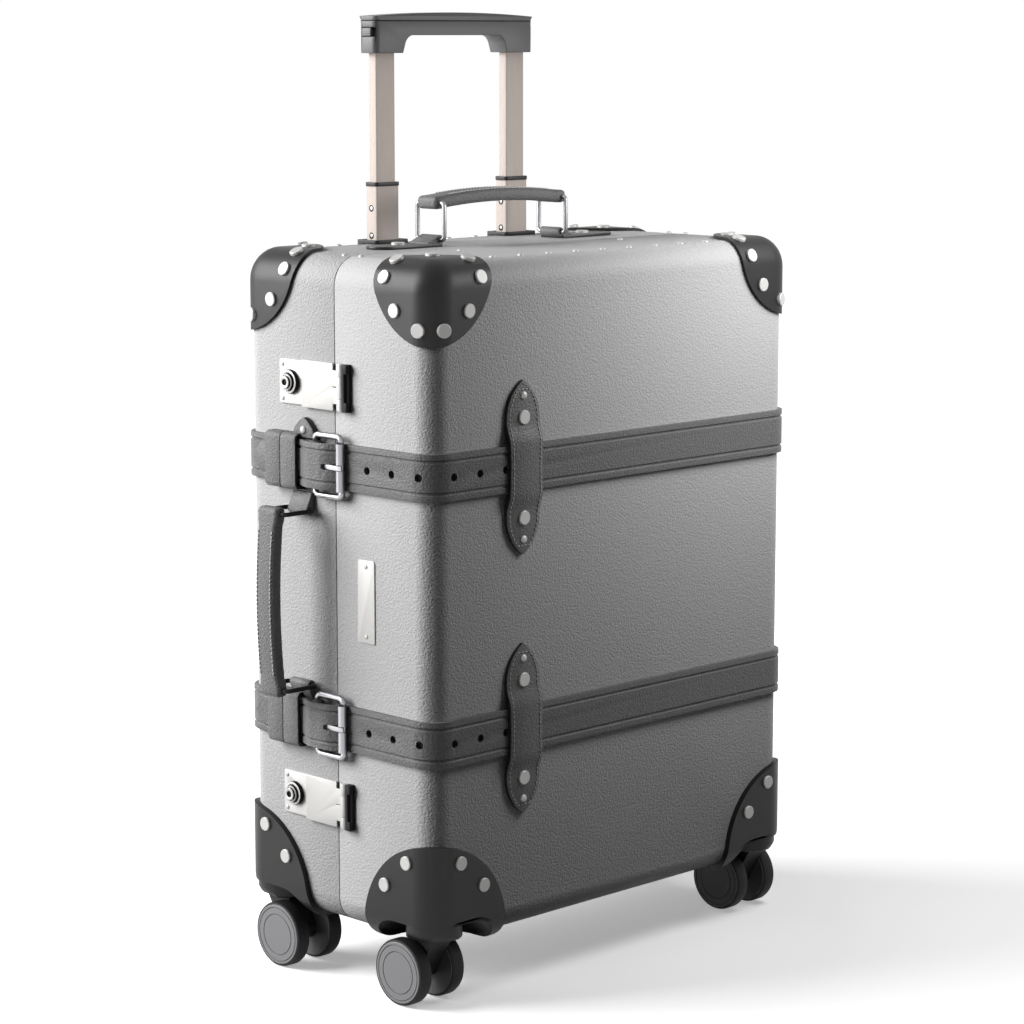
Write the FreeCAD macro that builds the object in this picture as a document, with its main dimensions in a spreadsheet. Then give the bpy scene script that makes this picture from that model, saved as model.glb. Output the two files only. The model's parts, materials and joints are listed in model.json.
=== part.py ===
"""Carry-on suitcase with leather straps, riveted corners, a trolley handle and four twin-wheel casters.

Millimetres. X runs along the wide faces, Y from the lid (front) to the base (back), Z is up, and the
origin lies on the floor under the middle of the case. The lid hinges on the +X side.
"""
import FreeCAD
import Part
import Sketcher
import math
import os
from FreeCAD import Placement, Rotation, Vector

doc = FreeCAD.newDocument("suitcase")
sheet = doc.addObject("Spreadsheet::Sheet", "Sizes")
nodes = {}


class Size:
    """A length that carries its number and the sheet formula that gives it."""

    def __init__(self, value, text):
        self.value = value
        self.text = text

    def _with(self, sign, other, value):
        return Size(value, f"({self.text} {sign} {other.text})")

    def __add__(self, other):
        other = as_size(other)
        return self._with("+", other, self.value + other.value)

    def __sub__(self, other):
        other = as_size(other)
        return self._with("-", other, self.value - other.value)

    def __mul__(self, other):
        other = as_size(other)
        return self._with("*", other, self.value * other.value)

    def __truediv__(self, other):
        other = as_size(other)
        return self._with("/", other, self.value / other.value)

    def __neg__(self):
        return Size(-self.value, f"(0 - {self.text})")


def as_size(amount):
    return amount if isinstance(amount, Size) else Size(float(amount), f"{amount}")


def size(alias, value):
    """Enter one driving dimension in the sheet and hand it back as a Size."""
    row = len(sheet.getUsedCells()) // 2 + 1
    sheet.set(f"A{row}", alias)
    sheet.set(f"B{row}", str(value))
    sheet.setAlias(f"B{row}", alias)
    return Size(float(value), f"Sizes.{alias}")


# The fibreboard case
case_width = size("case_width", 390)
half_depth = size("half_depth", 102)
case_bottom = size("case_bottom", 56)
case_top = size("case_top", 547)
side_radius = size("side_radius", 22)
edge_radius = size("edge_radius", 18)
wall = size("wall", 3)
seam_gap = size("seam_gap", 1)
fit_gap = size("fit_gap", 0.4)
touch_gap = size("touch_gap", 0.3)
pin_gap = size("pin_gap", 0.05)
rim_lip = size("rim_lip", 12)
rim_depth = size("rim_depth", 14)
rim_wall = size("rim_wall", 2)
lining_wall = size("lining_wall", 1.2)
panel_clear = size("panel_clear", 1.7)
panel_wall = size("panel_wall", 2.5)

# Corner pieces and their flat rivets
top_sheet = size("top_sheet", 2.5)
top_reach = size("top_reach", 60)
wheel_sheet = size("wheel_sheet", 4.5)
wheel_reach = size("wheel_reach", 70)
wheel_corner_rise = size("wheel_corner_rise", 8)
rivet_radius = size("rivet_radius", 5.3)
rivet_head = size("rivet_head", 1.9)
small_rivet_radius = size("small_rivet_radius", 3)
rivet_arc = size("rivet_arc", 49)
wheel_rivet_arc = size("wheel_rivet_arc", 55)

# Casters
swivel_inset = size("swivel_inset", 18.5)
boss_radius = size("boss_radius", 20.8)
boss_tall = size("boss_tall", 11.5)
well_radius = size("well_radius", 46)
well_rise = size("well_rise", 17)
well_round = size("well_round", 16)
well_wall = size("well_wall", 2.5)
wheel_radius = size("wheel_radius", 25)
wheel_width = size("wheel_width", 12)
wheel_outer = size("wheel_outer", 22.4)
wheel_edge = size("wheel_edge", 2.5)
groove = size("groove", 0.7)
groove_outer = size("groove_outer", 20.5)
groove_inner = size("groove_inner", 15.5)
trail = size("trail", 15.6)
axle_radius = size("axle_radius", 3)
axle_depth = size("axle_depth", 9)
stem_radius = size("stem_radius", 5)
stem_length = size("stem_length", 9)
swivel_gap = size("swivel_gap", 0.5)
fork_disc_radius = size("fork_disc_radius", 17)
fork_disc = size("fork_disc", 4)
fork_boss_radius = size("fork_boss_radius", 8.5)
fork_neck = size("fork_neck", 13.6)
fork_gap = size("fork_gap", 0.6)

# Leather straps, buckles, keepers and loops
strap_width = size("strap_width", 34)
strap_thick = size("strap_thick", 3.6)
strap_hole_radius = size("strap_hole_radius", 2.5)
strap_hole_pitch = size("strap_hole_pitch", 26)
strap_hole_first = size("strap_hole_first", 38)
strap_hole_front = size("strap_hole_front", 19)
wire_radius = size("wire_radius", 1.75)
roll_wall = size("roll_wall", 2)
buckle_pivot = size("buckle_pivot", 16)
buckle_reach = size("buckle_reach", 29)
buckle_room = size("buckle_room", 3.5)
buckle_clear = size("buckle_clear", 0.35)
wire_bend = size("wire_bend", 4)
prong_width = size("prong_width", 3.4)
prong_thick = size("prong_thick", 2.6)
prong_slot = size("prong_slot", 1.2)
eye_wall = size("eye_wall", 1.6)
tail_thick = size("tail_thick", 2.8)
tail_end = size("tail_end", 86)
tail_point = size("tail_point", 14)
tail_slack = size("tail_slack", 4)
tail_rise = size("tail_rise", 1.5)
keeper_start = size("keeper_start", 33)
keeper_band = size("keeper_band", 15.6)
keeper_room = size("keeper_room", 1.6)
keeper_wall = size("keeper_wall", 2.4)
keeper_gap = size("keeper_gap", 1.8)
upper_clear = size("upper_clear", 14.5)
lower_clear = size("lower_clear", 6.2)
loop_x = size("loop_x", 105.4)
loop_height = size("loop_height", 129)
loop_width = size("loop_width", 34)
loop_thick = size("loop_thick", 3)
loop_waist = size("loop_waist", 15)
loop_shoulder = size("loop_shoulder", 35.5)
loop_slope = size("loop_slope", 8)
loop_rivet = size("loop_rivet", 37)
loop_tip_rivet = size("loop_tip_rivet", 53)

# Locks, name plate and hinges
lock_upper = size("lock_upper", 151)
lock_dip = size("lock_dip", 10.5)
lock_plate_end = size("lock_plate_end", 60)
lock_plate_height = size("lock_plate_height", 33)
lock_plate_thick = size("lock_plate_thick", 1.5)
collar_y = size("collar_y", 47)
collar_radius = size("collar_radius", 9)
collar_height = size("collar_height", 5)
key_radius = size("key_radius", 6.3)
key_height = size("key_height", 8.5)
key_step = size("key_step", 1.6)
key_travel = size("key_travel", 1.4)
hasp_end = size("hasp_end", 33)
hasp_height = size("hasp_height", 34.8)
hasp_thick = size("hasp_thick", 1.8)
hasp_axis_y = size("hasp_axis_y", 10)
hasp_axis_lift = size("hasp_axis_lift", 3)
knuckle_radius = size("knuckle_radius", 2.6)
knuckle_length = size("knuckle_length", 16)
hasp_pin_radius = size("hasp_pin_radius", 1)
block_wide = size("block_wide", 5.1)
block_lift = size("block_lift", 5.5)
plate_y = size("plate_y", 33)
plate_width = size("plate_width", 18)
plate_height = size("plate_height", 61.7)
plate_thick = size("plate_thick", 0.9)
plate_rivet = size("plate_rivet", 26)
plate_rivet_radius = size("plate_rivet_radius", 1.8)
hinge_offset = size("hinge_offset", 7.5)
hinge_barrel = size("hinge_barrel", 3.2)
hinge_pin_radius = size("hinge_pin_radius", 1.5)
hinge_length = size("hinge_length", 44)
hinge_middle = size("hinge_middle", 14.4)
hinge_leaf = size("hinge_leaf", 24)
hinge_leaf_thick = size("hinge_leaf_thick", 1.5)

# Carrying handles
handle_span = size("handle_span", 132)
handle_y = size("handle_y", 34)
handle_drop = size("handle_drop", 8.5)
bar_lift = size("bar_lift", 5)
ring_width = size("ring_width", 29.5)
ring_reach = size("ring_reach", 28)
ring_bend = size("ring_bend", 3)
roll_length = size("roll_length", 21)
tab_length = size("tab_length", 62)
tab_width = size("tab_width", 26)
tab_thick = size("tab_thick", 2.5)
tab_rivet = size("tab_rivet", 34)
grip_width = size("grip_width", 22)
grip_thick = size("grip_thick", 10)
grip_arch = size("grip_arch", 4)
grip_round = size("grip_round", 4)

# Trolley handle
post_x = size("post_x", 70)
post_inset = size("post_inset", 18)
inner_wide = size("inner_wide", 19.6)
inner_deep = size("inner_deep", 8.8)
tube_wall = size("tube_wall", 1.2)
tube_gap = size("tube_gap", 0.3)
middle_grow = size("middle_grow", 1.9)
post_clear = size("post_clear", 14)
post_proud = size("post_proud", 1)
middle_length = size("middle_length", 430)
middle_show = size("middle_show", 44)
collar_tall = size("collar_tall", 3)
collar_lip = size("collar_lip", 0.8)
inner_length = size("inner_length", 420)
inner_show = size("inner_show", 98)
grip_overhang = size("grip_overhang", 15)
grip_tall = size("grip_tall", 28)
grip_crown = size("grip_crown", 3)
grip_deep = size("grip_deep", 19.5)
grip_leg = size("grip_leg", 29)
grip_hollow = size("grip_hollow", 13.5)
grip_slant = size("grip_slant", 3.4)
grip_hollow_round = size("grip_hollow_round", 9)
grip_corner = size("grip_corner", 4)
trolley_round = size("trolley_round", 2)
press_wide = size("press_wide", 10)
press_tall = size("press_tall", 6.3)
press_rise = size("press_rise", 16)
press_proud = size("press_proud", 0.9)
press_long = size("press_long", 5)
press_travel = size("press_travel", 2)
bezel_margin = size("bezel_margin", 4)
bezel_tall = size("bezel_tall", 3)
foot_tall = size("foot_tall", 8)

# Places that follow from the sizes above, so that neighbours keep clear of each other
side = case_width / 2
case_middle = (case_bottom + case_top) / 2
swivel_x = side - swivel_inset
swivel_y = half_depth - swivel_inset
well_top = case_bottom + well_rise
boss_bottom = well_top - boss_tall
fork_top = boss_bottom - swivel_gap
wheel_corner_z = case_bottom + wheel_corner_rise
buckle_height = strap_width + (buckle_room + wire_radius) * 2
buckle_lift = strap_thick + wire_radius + buckle_clear
keeper_height = strap_width + (keeper_room + keeper_wall) * 2
side_handle_z = case_middle - handle_drop
strap_upper = side_handle_z + handle_span / 2 + upper_clear + keeper_height / 2
strap_lower = side_handle_z - handle_span / 2 - lower_clear - keeper_height / 2
lock_upper_z = case_middle + lock_upper
lock_lower_z = wheel_corner_z + wheel_reach + lock_plate_height / 2 - lock_dip
hasp_start = hasp_axis_y - knuckle_radius - fit_gap
block_end = hasp_axis_y + knuckle_radius + touch_gap + block_wide
post_y = half_depth - post_inset
post_foot = case_bottom + post_clear
post_rim = case_top + post_proud
middle_top = case_top + middle_show
middle_wide = inner_wide + middle_grow * 2
middle_deep = inner_deep + middle_grow * 2
outer_wide = middle_wide + (tube_gap + tube_wall) * 2
outer_deep = middle_deep + (tube_gap + tube_wall) * 2
packing_depth = post_y - outer_deep / 2 - panel_clear - panel_wall
grip_bottom = middle_top + collar_tall + inner_show
grip_half = post_x + grip_overhang
press_z = grip_bottom + press_rise
doc.recompute()

TURNS = {
    "X": Rotation(Vector(0, 1, 0), 90),
    "Y": Rotation(Vector(1, 0, 0), -90),
    "Z": Rotation(),
}
HALF_TURN = Rotation(Vector(0, 0, 1), 180)
ONTO_SIDE = Rotation(Vector(0, 1, 0), -90)
ACROSS = Vector(1, 0, 0)
THROUGH = Vector(0, 1, 0)

# Angles of the first and last rivet about a corner, the roundness of a grip's ends as a share of its
# thickness, and how near two lengths must be to count as the same
TOP_RIVET_ANGLES = (14, 76)
WHEEL_RIVET_ANGLES = (32, 65)
GRIP_END_SHARE = 0.55
SAME = 0.001


def bind(item, name, amount):
    item.setExpression(name, as_size(amount).text)


def place(item, x=0, y=0, z=0, turn=None):
    """Put an item at sheet-driven coordinates, after an optional turn."""
    if turn is not None:
        item.Placement = Placement(Vector(), turn)
    for axis, amount in zip("xyz", (x, y, z)):
        bind(item, f"Placement.Base.{axis}", amount)
    return item


def node(label, item):
    item.Label = label
    nodes[label] = item
    return item


def box(name, x, y, z):
    """A block between two corners, each direction given as (low, high)."""
    item = doc.addObject("Part::Box", name)
    for side_name, (low, high) in zip(("Length", "Width", "Height"), (x, y, z)):
        bind(item, side_name, as_size(high) - low)
    return place(item, x[0], y[0], z[0])


def rod(name, axis, radius, start, length):
    item = doc.addObject("Part::Cylinder", name)
    bind(item, "Radius", radius)
    bind(item, "Height", length)
    return place(item, *start, turn=TURNS[axis])


def cut(name, base, tool):
    item = doc.addObject("Part::Cut", name)
    item.Base = base
    item.Tool = tool
    return item


def join(name, items):
    item = doc.addObject("Part::MultiFuse", name)
    item.Shapes = items
    item.Refine = True
    return item


def common(name, items):
    item = doc.addObject("Part::MultiCommon", name)
    item.Shapes = items
    return item


def group(name, items):
    item = doc.addObject("Part::Compound", name)
    item.Links = items
    return item


def mirror(name, item, normal):
    twin = doc.addObject("Part::Mirroring", name)
    twin.Source = item
    twin.Normal = normal
    return twin


def body(name):
    return doc.addObject("PartDesign::Body", name)


def arc_between(start, end, radius, bulge):
    """The short arc between two points, drawn counter-clockwise.

    Bulge 1 swells to the right of the way from start to end, and -1 to the left.
    """
    chord = end - start
    middle = (start + end) * 0.5
    normal = Vector(chord.y, -chord.x, 0).normalize() * bulge
    reach = math.sqrt(max(radius ** 2 - (chord.Length / 2) ** 2, 0))
    centre = middle - normal * reach
    crest = centre + normal * radius
    return Part.Arc(start, crest, end) if bulge > 0 else Part.Arc(end, crest, start)


def outline(owner, role, *loops):
    """A sketch of closed loops on one of the body's own planes.

    A loop is (points, arcs): every point is tied to the sheet, and arcs gives the radius and the bulge
    of the stretches that leave the named points and aren't straight.
    """
    drawing = owner.newObject("Sketcher::SketchObject", owner.Name + "Outline")
    plane = [item for item in owner.Origin.OriginFeatures if item.Role == role][0]
    drawing.AttachmentSupport = (plane, "")
    drawing.MapMode = "FlatFace"
    for points, arcs in loops:
        points = [(as_size(across), as_size(up)) for across, up in points]
        spots = [Vector(across.value, up.value, 0) for across, up in points]
        count = len(points)
        ids = []
        ends = []
        for index in range(count):
            start = spots[index]
            end = spots[(index + 1) % count]
            if index in arcs:
                radius, bulge = arcs[index]
                curve = arc_between(start, end, as_size(radius).value, bulge)
                ids.append(drawing.addGeometry(curve, False))
                ends.append((1, 2) if bulge > 0 else (2, 1))
            else:
                ids.append(drawing.addGeometry(Part.LineSegment(start, end), False))
                ends.append((1, 2))
        for index in range(count):
            after = (index + 1) % count
            meet = (ids[index], ends[index][1], ids[after], ends[after][0])
            drawing.addConstraint(Sketcher.Constraint("Coincident", *meet))
        for index, (across, up) in enumerate(points):
            for kind, amount in (("DistanceX", across), ("DistanceY", up)):
                spot = (-1, 1, ids[index], ends[index][0], amount.value)
                number = drawing.addConstraint(Sketcher.Constraint(kind, *spot))
                bind(drawing, f"Constraints[{number}]", amount)
            if index in arcs:
                radius = as_size(arcs[index][0])
                number = drawing.addConstraint(Sketcher.Constraint("Radius", ids[index], radius.value))
                bind(drawing, f"Constraints[{number}]", radius)
    return drawing


def rounded(left, right, low, high, radius):
    """A rectangle with four round corners, counter-clockwise."""
    left, right, low, high = (as_size(edge) for edge in (left, right, low, high))
    points = [(left + radius, low), (right - radius, low), (right, low + radius), (right, high - radius),
              (right - radius, high), (left + radius, high), (left, high - radius), (left, low + radius)]
    return points, {corner: (radius, 1) for corner in (1, 3, 5, 7)}


def circle(owner, role, radius):
    """A round sketch about the body's own origin."""
    drawing = owner.newObject("Sketcher::SketchObject", owner.Name + "Section")
    plane = [item for item in owner.Origin.OriginFeatures if item.Role == role][0]
    drawing.AttachmentSupport = (plane, "")
    drawing.MapMode = "FlatFace"
    ring = drawing.addGeometry(Part.Circle(Vector(), Vector(0, 0, 1), radius.value), False)
    drawing.addConstraint(Sketcher.Constraint("Coincident", ring, 3, -1, 1))
    number = drawing.addConstraint(Sketcher.Constraint("Radius", ring, radius.value))
    bind(drawing, f"Constraints[{number}]", radius)
    return drawing


def pad(owner, drawing, length):
    item = owner.newObject("PartDesign::Pad", owner.Name + "Pad")
    item.Profile = drawing
    bind(item, "Length", length)
    return item


def revolve(owner, drawing, axis):
    item = owner.newObject("PartDesign::Revolution", owner.Name + "Turned")
    item.Profile = drawing
    item.ReferenceAxis = (drawing, [axis])
    item.Angle = 360
    return item


def wire(name, loop, section_role, radius):
    """A round wire bent to a closed loop in the body's YZ plane."""
    owner = body(name)
    path = outline(owner, "YZ_Plane", loop)
    item = owner.newObject("PartDesign::AdditivePipe", name + "Wire")
    item.Profile = circle(owner, section_role, radius)
    item.Spine = path
    return owner


def round_edges(owner, base, radius, chosen):
    """Fillet the edges of a feature that the chosen test accepts."""
    doc.recompute()
    bounds = base.Shape.BoundBox
    names = [f"Edge{number}" for number, edge in enumerate(base.Shape.Edges, 1) if chosen(edge, bounds)]
    item = owner.newObject("PartDesign::Fillet", base.Name + "Round")
    item.Base = (base, names)
    bind(item, "Radius", radius)
    return item


def along_y(edge, bounds):
    return abs(edge.tangentAt(edge.FirstParameter).y) > 1 - SAME


def upper_along_y(edge, bounds):
    return along_y(edge, bounds) and edge.BoundBox.ZMin > bounds.Center.z


def at_front(edge, bounds):
    return edge.BoundBox.YMax < bounds.YMin + SAME


def at_ends_y(edge, bounds):
    return at_front(edge, bounds) or edge.BoundBox.YMin > bounds.YMax - SAME


# The two halves of the case


def case_block(name, grow):
    """The closed case as one block, standing a little outside the fibreboard."""
    owner = body(name)
    right = side + grow
    low = case_bottom - grow
    high = case_top + grow
    face = [(-right, low), (right, low), (right, high), (-right, high)]
    block = pad(owner, outline(owner, "XZ_Plane", (face, {})), (half_depth + grow) * 2)
    sides = round_edges(owner, block, side_radius + grow, along_y)
    round_edges(owner, sides, edge_radius + grow, at_ends_y)
    return place(owner, 0, half_depth + grow, 0)


def tray(name, inset, thickness, start):
    """An open half of the case on the lid's side, lying inset inside the fibreboard's outside."""
    owner = body(name)
    right = side - inset
    low = case_bottom + inset
    high = case_top - inset
    face = [(-right, low), (right, low), (right, high), (-right, high)]
    block = pad(owner, outline(owner, "XZ_Plane", (face, {})), half_depth - inset - start)
    sides = round_edges(owner, block, side_radius - inset, along_y)
    front = round_edges(owner, sides, edge_radius - inset, at_front)
    doc.recompute()
    back = front.Shape.BoundBox.YMax
    mouth = [f"Face{number}" for number, face in enumerate(front.Shape.Faces, 1)
             if face.BoundBox.YMin > back - SAME]
    hollow = owner.newObject("PartDesign::Thickness", name + "Wall")
    hollow.Base = (front, mouth)
    hollow.Reversed = True
    bind(hollow, "Value", thickness)
    return place(owner, 0, -as_size(start), 0)


def ring_frame(name, inset, thickness, front, back):
    """A band that lines the four walls of the case from one depth to another."""
    owner = body(name)
    loops = []
    for offset in (inset, inset + thickness):
        right = side - offset
        loops.append(rounded(-right, right, case_bottom + offset, case_top - offset, side_radius - offset))
    pad(owner, outline(owner, "XZ_Plane", *loops), as_size(back) - front)
    return place(owner, 0, back, 0)


def well(name, grow):
    """The domed hollow that a caster swings in, about the front left swivel."""
    owner = body(name)
    widest = well_radius + grow
    crown = well_top + grow
    points = [(0, 0), (widest, 0), (widest, well_top - well_round), (well_radius - well_round, crown),
              (0, crown)]
    revolve(owner, outline(owner, "XZ_Plane", (points, {2: (well_round + grow, 1)})), "V_Axis")
    return place(owner, -swivel_x, -swivel_y, 0)


def four(name, item):
    """An item at the front left and its mirror images: front right, back left and back right."""
    front_right = mirror(name + "FrontRight", item, ACROSS)
    back_left = mirror(name + "BackLeft", item, THROUGH)
    back_right = mirror(name + "BackRight", front_right, THROUGH)
    return item, front_right, back_left, back_right


def post_hole(name, sign, grow, z):
    """A block the size of an outer trolley tube, as a hole or a tube."""
    middle = post_x * sign
    return box(name, (middle - outer_wide / 2 - grow, middle + outer_wide / 2 + grow),
               (post_y - outer_deep / 2 - grow, post_y + outer_deep / 2 + grow), z)


case_form = case_block("CaseForm", as_size(0))
wells = four("WellOutside", well("WellOutside", well_wall))
lining_wells = four("WellClear", well("WellClear", well_wall + touch_gap))
seam = seam_gap / 2

lid_half = tray("LidHalf", as_size(0), wall, seam)
node("lid_shell", cut("LidShell", lid_half, group("LidWells", [wells[0], wells[1]])))

base_half = mirror("BaseHalf", tray("BaseTray", as_size(0), wall, seam), THROUGH)
post_holes = [post_hole(f"PostHole{sign}", sign, touch_gap, (case_top - edge_radius, case_top + wall))
              for sign in (-1, 1)]
node("base_shell", cut("BaseShell", base_half, group("BaseHoles", [wells[2], wells[3], *post_holes])))

node("base_rim", ring_frame("BaseRim", wall + fit_gap, rim_wall, -rim_lip, rim_depth))

lid_cloth = tray("LidCloth", wall + touch_gap, lining_wall, rim_lip + fit_gap)
node("lid_lining", cut("LidLining", lid_cloth, group("LidClothWells", [lining_wells[0], lining_wells[1]])))

base_cloth = ring_frame("BaseCloth", wall + fit_gap, lining_wall, rim_depth + touch_gap,
                        packing_depth - touch_gap)
back_clear = group("BackClear", [lining_wells[2], lining_wells[3]])
node("base_lining", cut("BaseLining", base_cloth, back_clear))

panel = body("Panel")
panel_edge = wall + fit_gap + lining_wall + fit_gap
panel_face = rounded(-(side - panel_edge), side - panel_edge, case_bottom + panel_edge,
                     case_top - panel_edge, side_radius - panel_edge)
pad(panel, outline(panel, "XZ_Plane", panel_face), panel_wall)
place(panel, 0, packing_depth + panel_wall, 0)
node("base_floor_panel", cut("FloorPanel", panel, back_clear))


# Riveted corners


def ball(name, z, radius):
    item = doc.addObject("Part::Sphere", name)
    bind(item, "Radius", radius)
    return place(item, -side, -half_depth, z)


top_form = case_block("TopCornerForm", top_sheet)
top_layer = cut("TopCornerLayer", top_form, case_form)
top_corner = common("TopCorner", [top_layer, ball("TopCornerReach", case_top, top_reach)])
top_corners = four("TopCorner", top_corner)
node("lid_top_corners", group("LidTopCorners", top_corners[:2]))
node("base_top_corners", group("BaseTopCorners", top_corners[2:]))

wheel_form = case_block("WheelCornerForm", wheel_sheet)
wheel_layer = cut("WheelCornerLayer", wheel_form, case_form)
wheel_sheet_part = common("WheelCornerSheet",
                          [wheel_layer, ball("WheelCornerReach", wheel_corner_z, wheel_reach)])
wheel_cup = common("WheelCup", [wells[0], wheel_form])
wheel_hollow = cut("WheelCornerHollow", join("WheelCornerSolid", [wheel_sheet_part, wheel_cup]),
                   well("WellInside", as_size(0)))
boss_foot = (-swivel_x, -swivel_y, boss_bottom)
boss = rod("SwivelBoss", "Z", boss_radius, boss_foot, well_top - boss_bottom)
boss_bore = rod("SwivelBore", "Z", stem_radius + pin_gap, boss_foot, well_top - boss_bottom)
wheel_corner = cut("WheelCorner", join("WheelCornerBoss", [wheel_hollow, boss]), boss_bore)
wheel_corners = four("WheelCorner", wheel_corner)
node("lid_wheel_corners", group("LidWheelCorners", wheel_corners[:2]))
node("base_wheel_corners", group("BaseWheelCorners", wheel_corners[2:]))


def arc_spots(arc, first, last, count):
    """Points spread along an arc about a corner, as (away from the edge, towards the middle)."""
    for step in range(count):
        angle = math.radians(first + (last - first) * step / (count - 1))
        yield arc * round(math.cos(angle), 4), arc * round(math.sin(angle), 4)


def corner_rivets(name, form, sheet_thick, spots, z, up, with_top):
    """Flat rivet heads seated on a corner piece: on both its sides and, at the top, on its roof."""
    length = rivet_head + edge_radius
    stand = sheet_thick + rivet_head
    heads = []
    for number, (away, inward) in enumerate(spots):
        height = z + inward * up
        tag = f"{name}{number}"
        heads.append(rod(tag + "Side", "X", rivet_radius,
                         (-side - stand, away - half_depth, height), length))
        heads.append(rod(tag + "Front", "Y", rivet_radius,
                         (away - side, -half_depth - stand, height), length))
        if with_top:
            heads.append(rod(tag + "Roof", "Z", rivet_radius,
                             (away - side, inward - half_depth, z + stand - length), length))
    return cut(name, group(name + "Heads", heads), form)


top_spots = arc_spots(rivet_arc, *TOP_RIVET_ANGLES, 3)
top_rivets = four("TopRivets", corner_rivets("TopRivets", top_form, top_sheet, top_spots,
                                             case_top, -1, True))
wheel_spots = arc_spots(wheel_rivet_arc, *WHEEL_RIVET_ANGLES, 2)
wheel_rivets = four("WheelRivets", corner_rivets("WheelRivets", wheel_form, wheel_sheet, wheel_spots,
                                                 wheel_corner_z, 1, False))
lid_rivets = [*top_rivets[:2], *wheel_rivets[:2]]
base_rivets = [*top_rivets[2:], *wheel_rivets[2:]]


# Casters


def wheel(name):
    """A wheel on its blind bore, with two turned grooves in its outer face, about the X axis."""
    owner = body(name)
    inner = wheel_outer - wheel_width
    bore = axle_radius + pin_gap
    bore_end = inner + axle_depth
    shoulder = wheel_radius - wheel_edge
    points = [(inner, bore), (inner, shoulder), (inner + wheel_edge, wheel_radius),
              (wheel_outer - wheel_edge, wheel_radius), (wheel_outer, shoulder)]
    for radius in (groove_outer, groove_inner):
        points += [(wheel_outer, radius + groove), (wheel_outer - groove, radius + groove),
                   (wheel_outer - groove, radius), (wheel_outer, radius)]
    points += [(wheel_outer, 0), (bore_end, 0), (bore_end, bore)]
    arcs = {1: (wheel_edge, -1), 3: (wheel_edge, -1)}
    revolve(owner, outline(owner, "XY_Plane", (points, arcs)), "H_Axis")
    return owner


def fork(name):
    """The swivelling middle of a caster, about its swivel axis and trailing towards +Y."""
    half = wheel_outer - wheel_width - fork_gap
    shoulder = fork_top - fork_disc
    owner = body(name + "Leg")
    points = [(-fork_neck, shoulder), (trail - fork_boss_radius, wheel_radius),
              (trail + fork_boss_radius, wheel_radius), (fork_neck, shoulder)]
    pad(owner, outline(owner, "YZ_Plane", (points, {})), half * 2)
    place(owner, -half, 0, 0)
    disc = rod(name + "Disc", "Z", fork_disc_radius, (0, 0, shoulder), fork_disc)
    stem = rod(name + "Stem", "Z", stem_radius, (0, 0, fork_top), stem_length)
    hub = rod(name + "Hub", "X", fork_boss_radius, (-half, trail, wheel_radius), half * 2)
    reach = wheel_outer - wheel_width + axle_depth - touch_gap
    axle = rod(name + "Axle", "X", axle_radius, (-reach, trail, wheel_radius), reach * 2)
    return join(name, [owner, disc, stem, hub, axle])


for along, y_sign in (("front", -1), ("back", 1)):
    for across, x_sign in (("left", -1), ("right", 1)):
        corner = f"{along}_{across}"
        frame = fork(f"Fork_{corner}")
        node(f"caster_fork_{corner}", place(frame, swivel_x * x_sign, swivel_y * y_sign, 0,
                                            HALF_TURN if y_sign > 0 else TURNS["Z"]))
        for rank, outward in (("outer", x_sign), ("inner", -x_sign)):
            tyre = wheel(f"Wheel_{corner}_{rank}")
            node(f"wheel_{corner}_{rank}", place(tyre, swivel_x * x_sign, (swivel_y - trail) * y_sign,
                                                 wheel_radius, HALF_TURN if outward < 0 else TURNS["Z"]))


# Leather straps with their buckles, keepers and loops

roll_radius = wire_radius + pin_gap + roll_wall
bar_bore = wire_radius + pin_gap
tail_lift = buckle_lift + roll_radius + touch_gap
tail_rest = strap_thick + touch_gap
half_slot = prong_width / 2 + prong_slot


def strap_zone(name, x, y, z):
    """A block about a strap's height, wide enough to cut the whole strap."""
    return box(name, x, y, (z - strap_width, z + strap_width))


def lid_strap(name, z):
    """The strap on the lid from seam to seam, with its row of buckle holes."""
    ahead = strap_zone(name + "Ahead", (-case_width, case_width), (-half_depth * 2, -seam), z)
    around = common(name + "Around", [strap_ring(name + "Ring", z), ahead])
    holes = []
    for step in range(2):
        back = strap_hole_first + strap_hole_pitch * step
        holes.append(rod(f"{name}SideHole{step}", "X", strap_hole_radius,
                         (-side - strap_thick, -back, z), strap_thick))
    for step in range(3):
        across = strap_hole_front + strap_hole_pitch * step - side
        holes.append(rod(f"{name}FrontHole{step}", "Y", strap_hole_radius,
                         (across, -half_depth - strap_thick, z), strap_thick))
    return cut(name, around, group(name + "Holes", holes))


def strap_ring(name, z):
    owner = body(name)
    loops = []
    for grow in (strap_thick, as_size(0)):
        right = side + grow
        back = half_depth + grow
        loops.append(rounded(-right, right, -back, back, edge_radius + grow))
    pad(owner, outline(owner, "XY_Plane", *loops), strap_width)
    return place(owner, 0, 0, z - strap_width / 2)


def base_strap(name, z):
    """The strap round the back, whose end is rolled about the buckle's bar and slotted for the prong."""
    behind = strap_zone(name + "Behind", (-case_width, case_width), (seam, half_depth * 2), z)
    around = common(name + "Around", [strap_ring(name + "Ring", z), behind])
    bare = strap_zone(name + "Bare", (-case_width, 0), (0, buckle_pivot), z)
    low = z - strap_width / 2
    pivot = (-side - buckle_lift, buckle_pivot, low)
    roll = rod(name + "Roll", "Z", roll_radius, pivot, strap_width)
    bore = rod(name + "Bore", "Z", bar_bore, pivot, strap_width)
    slot = box(name + "Slot", (-side - buckle_lift * 2, -side),
               (buckle_pivot - roll_radius, buckle_pivot + roll_radius), (z - half_slot, z + half_slot))
    return cut(name, join(name + "Rolled", [cut(name + "Short", around, bare), roll]),
               group(name + "Openings", [bore, slot]))


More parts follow.
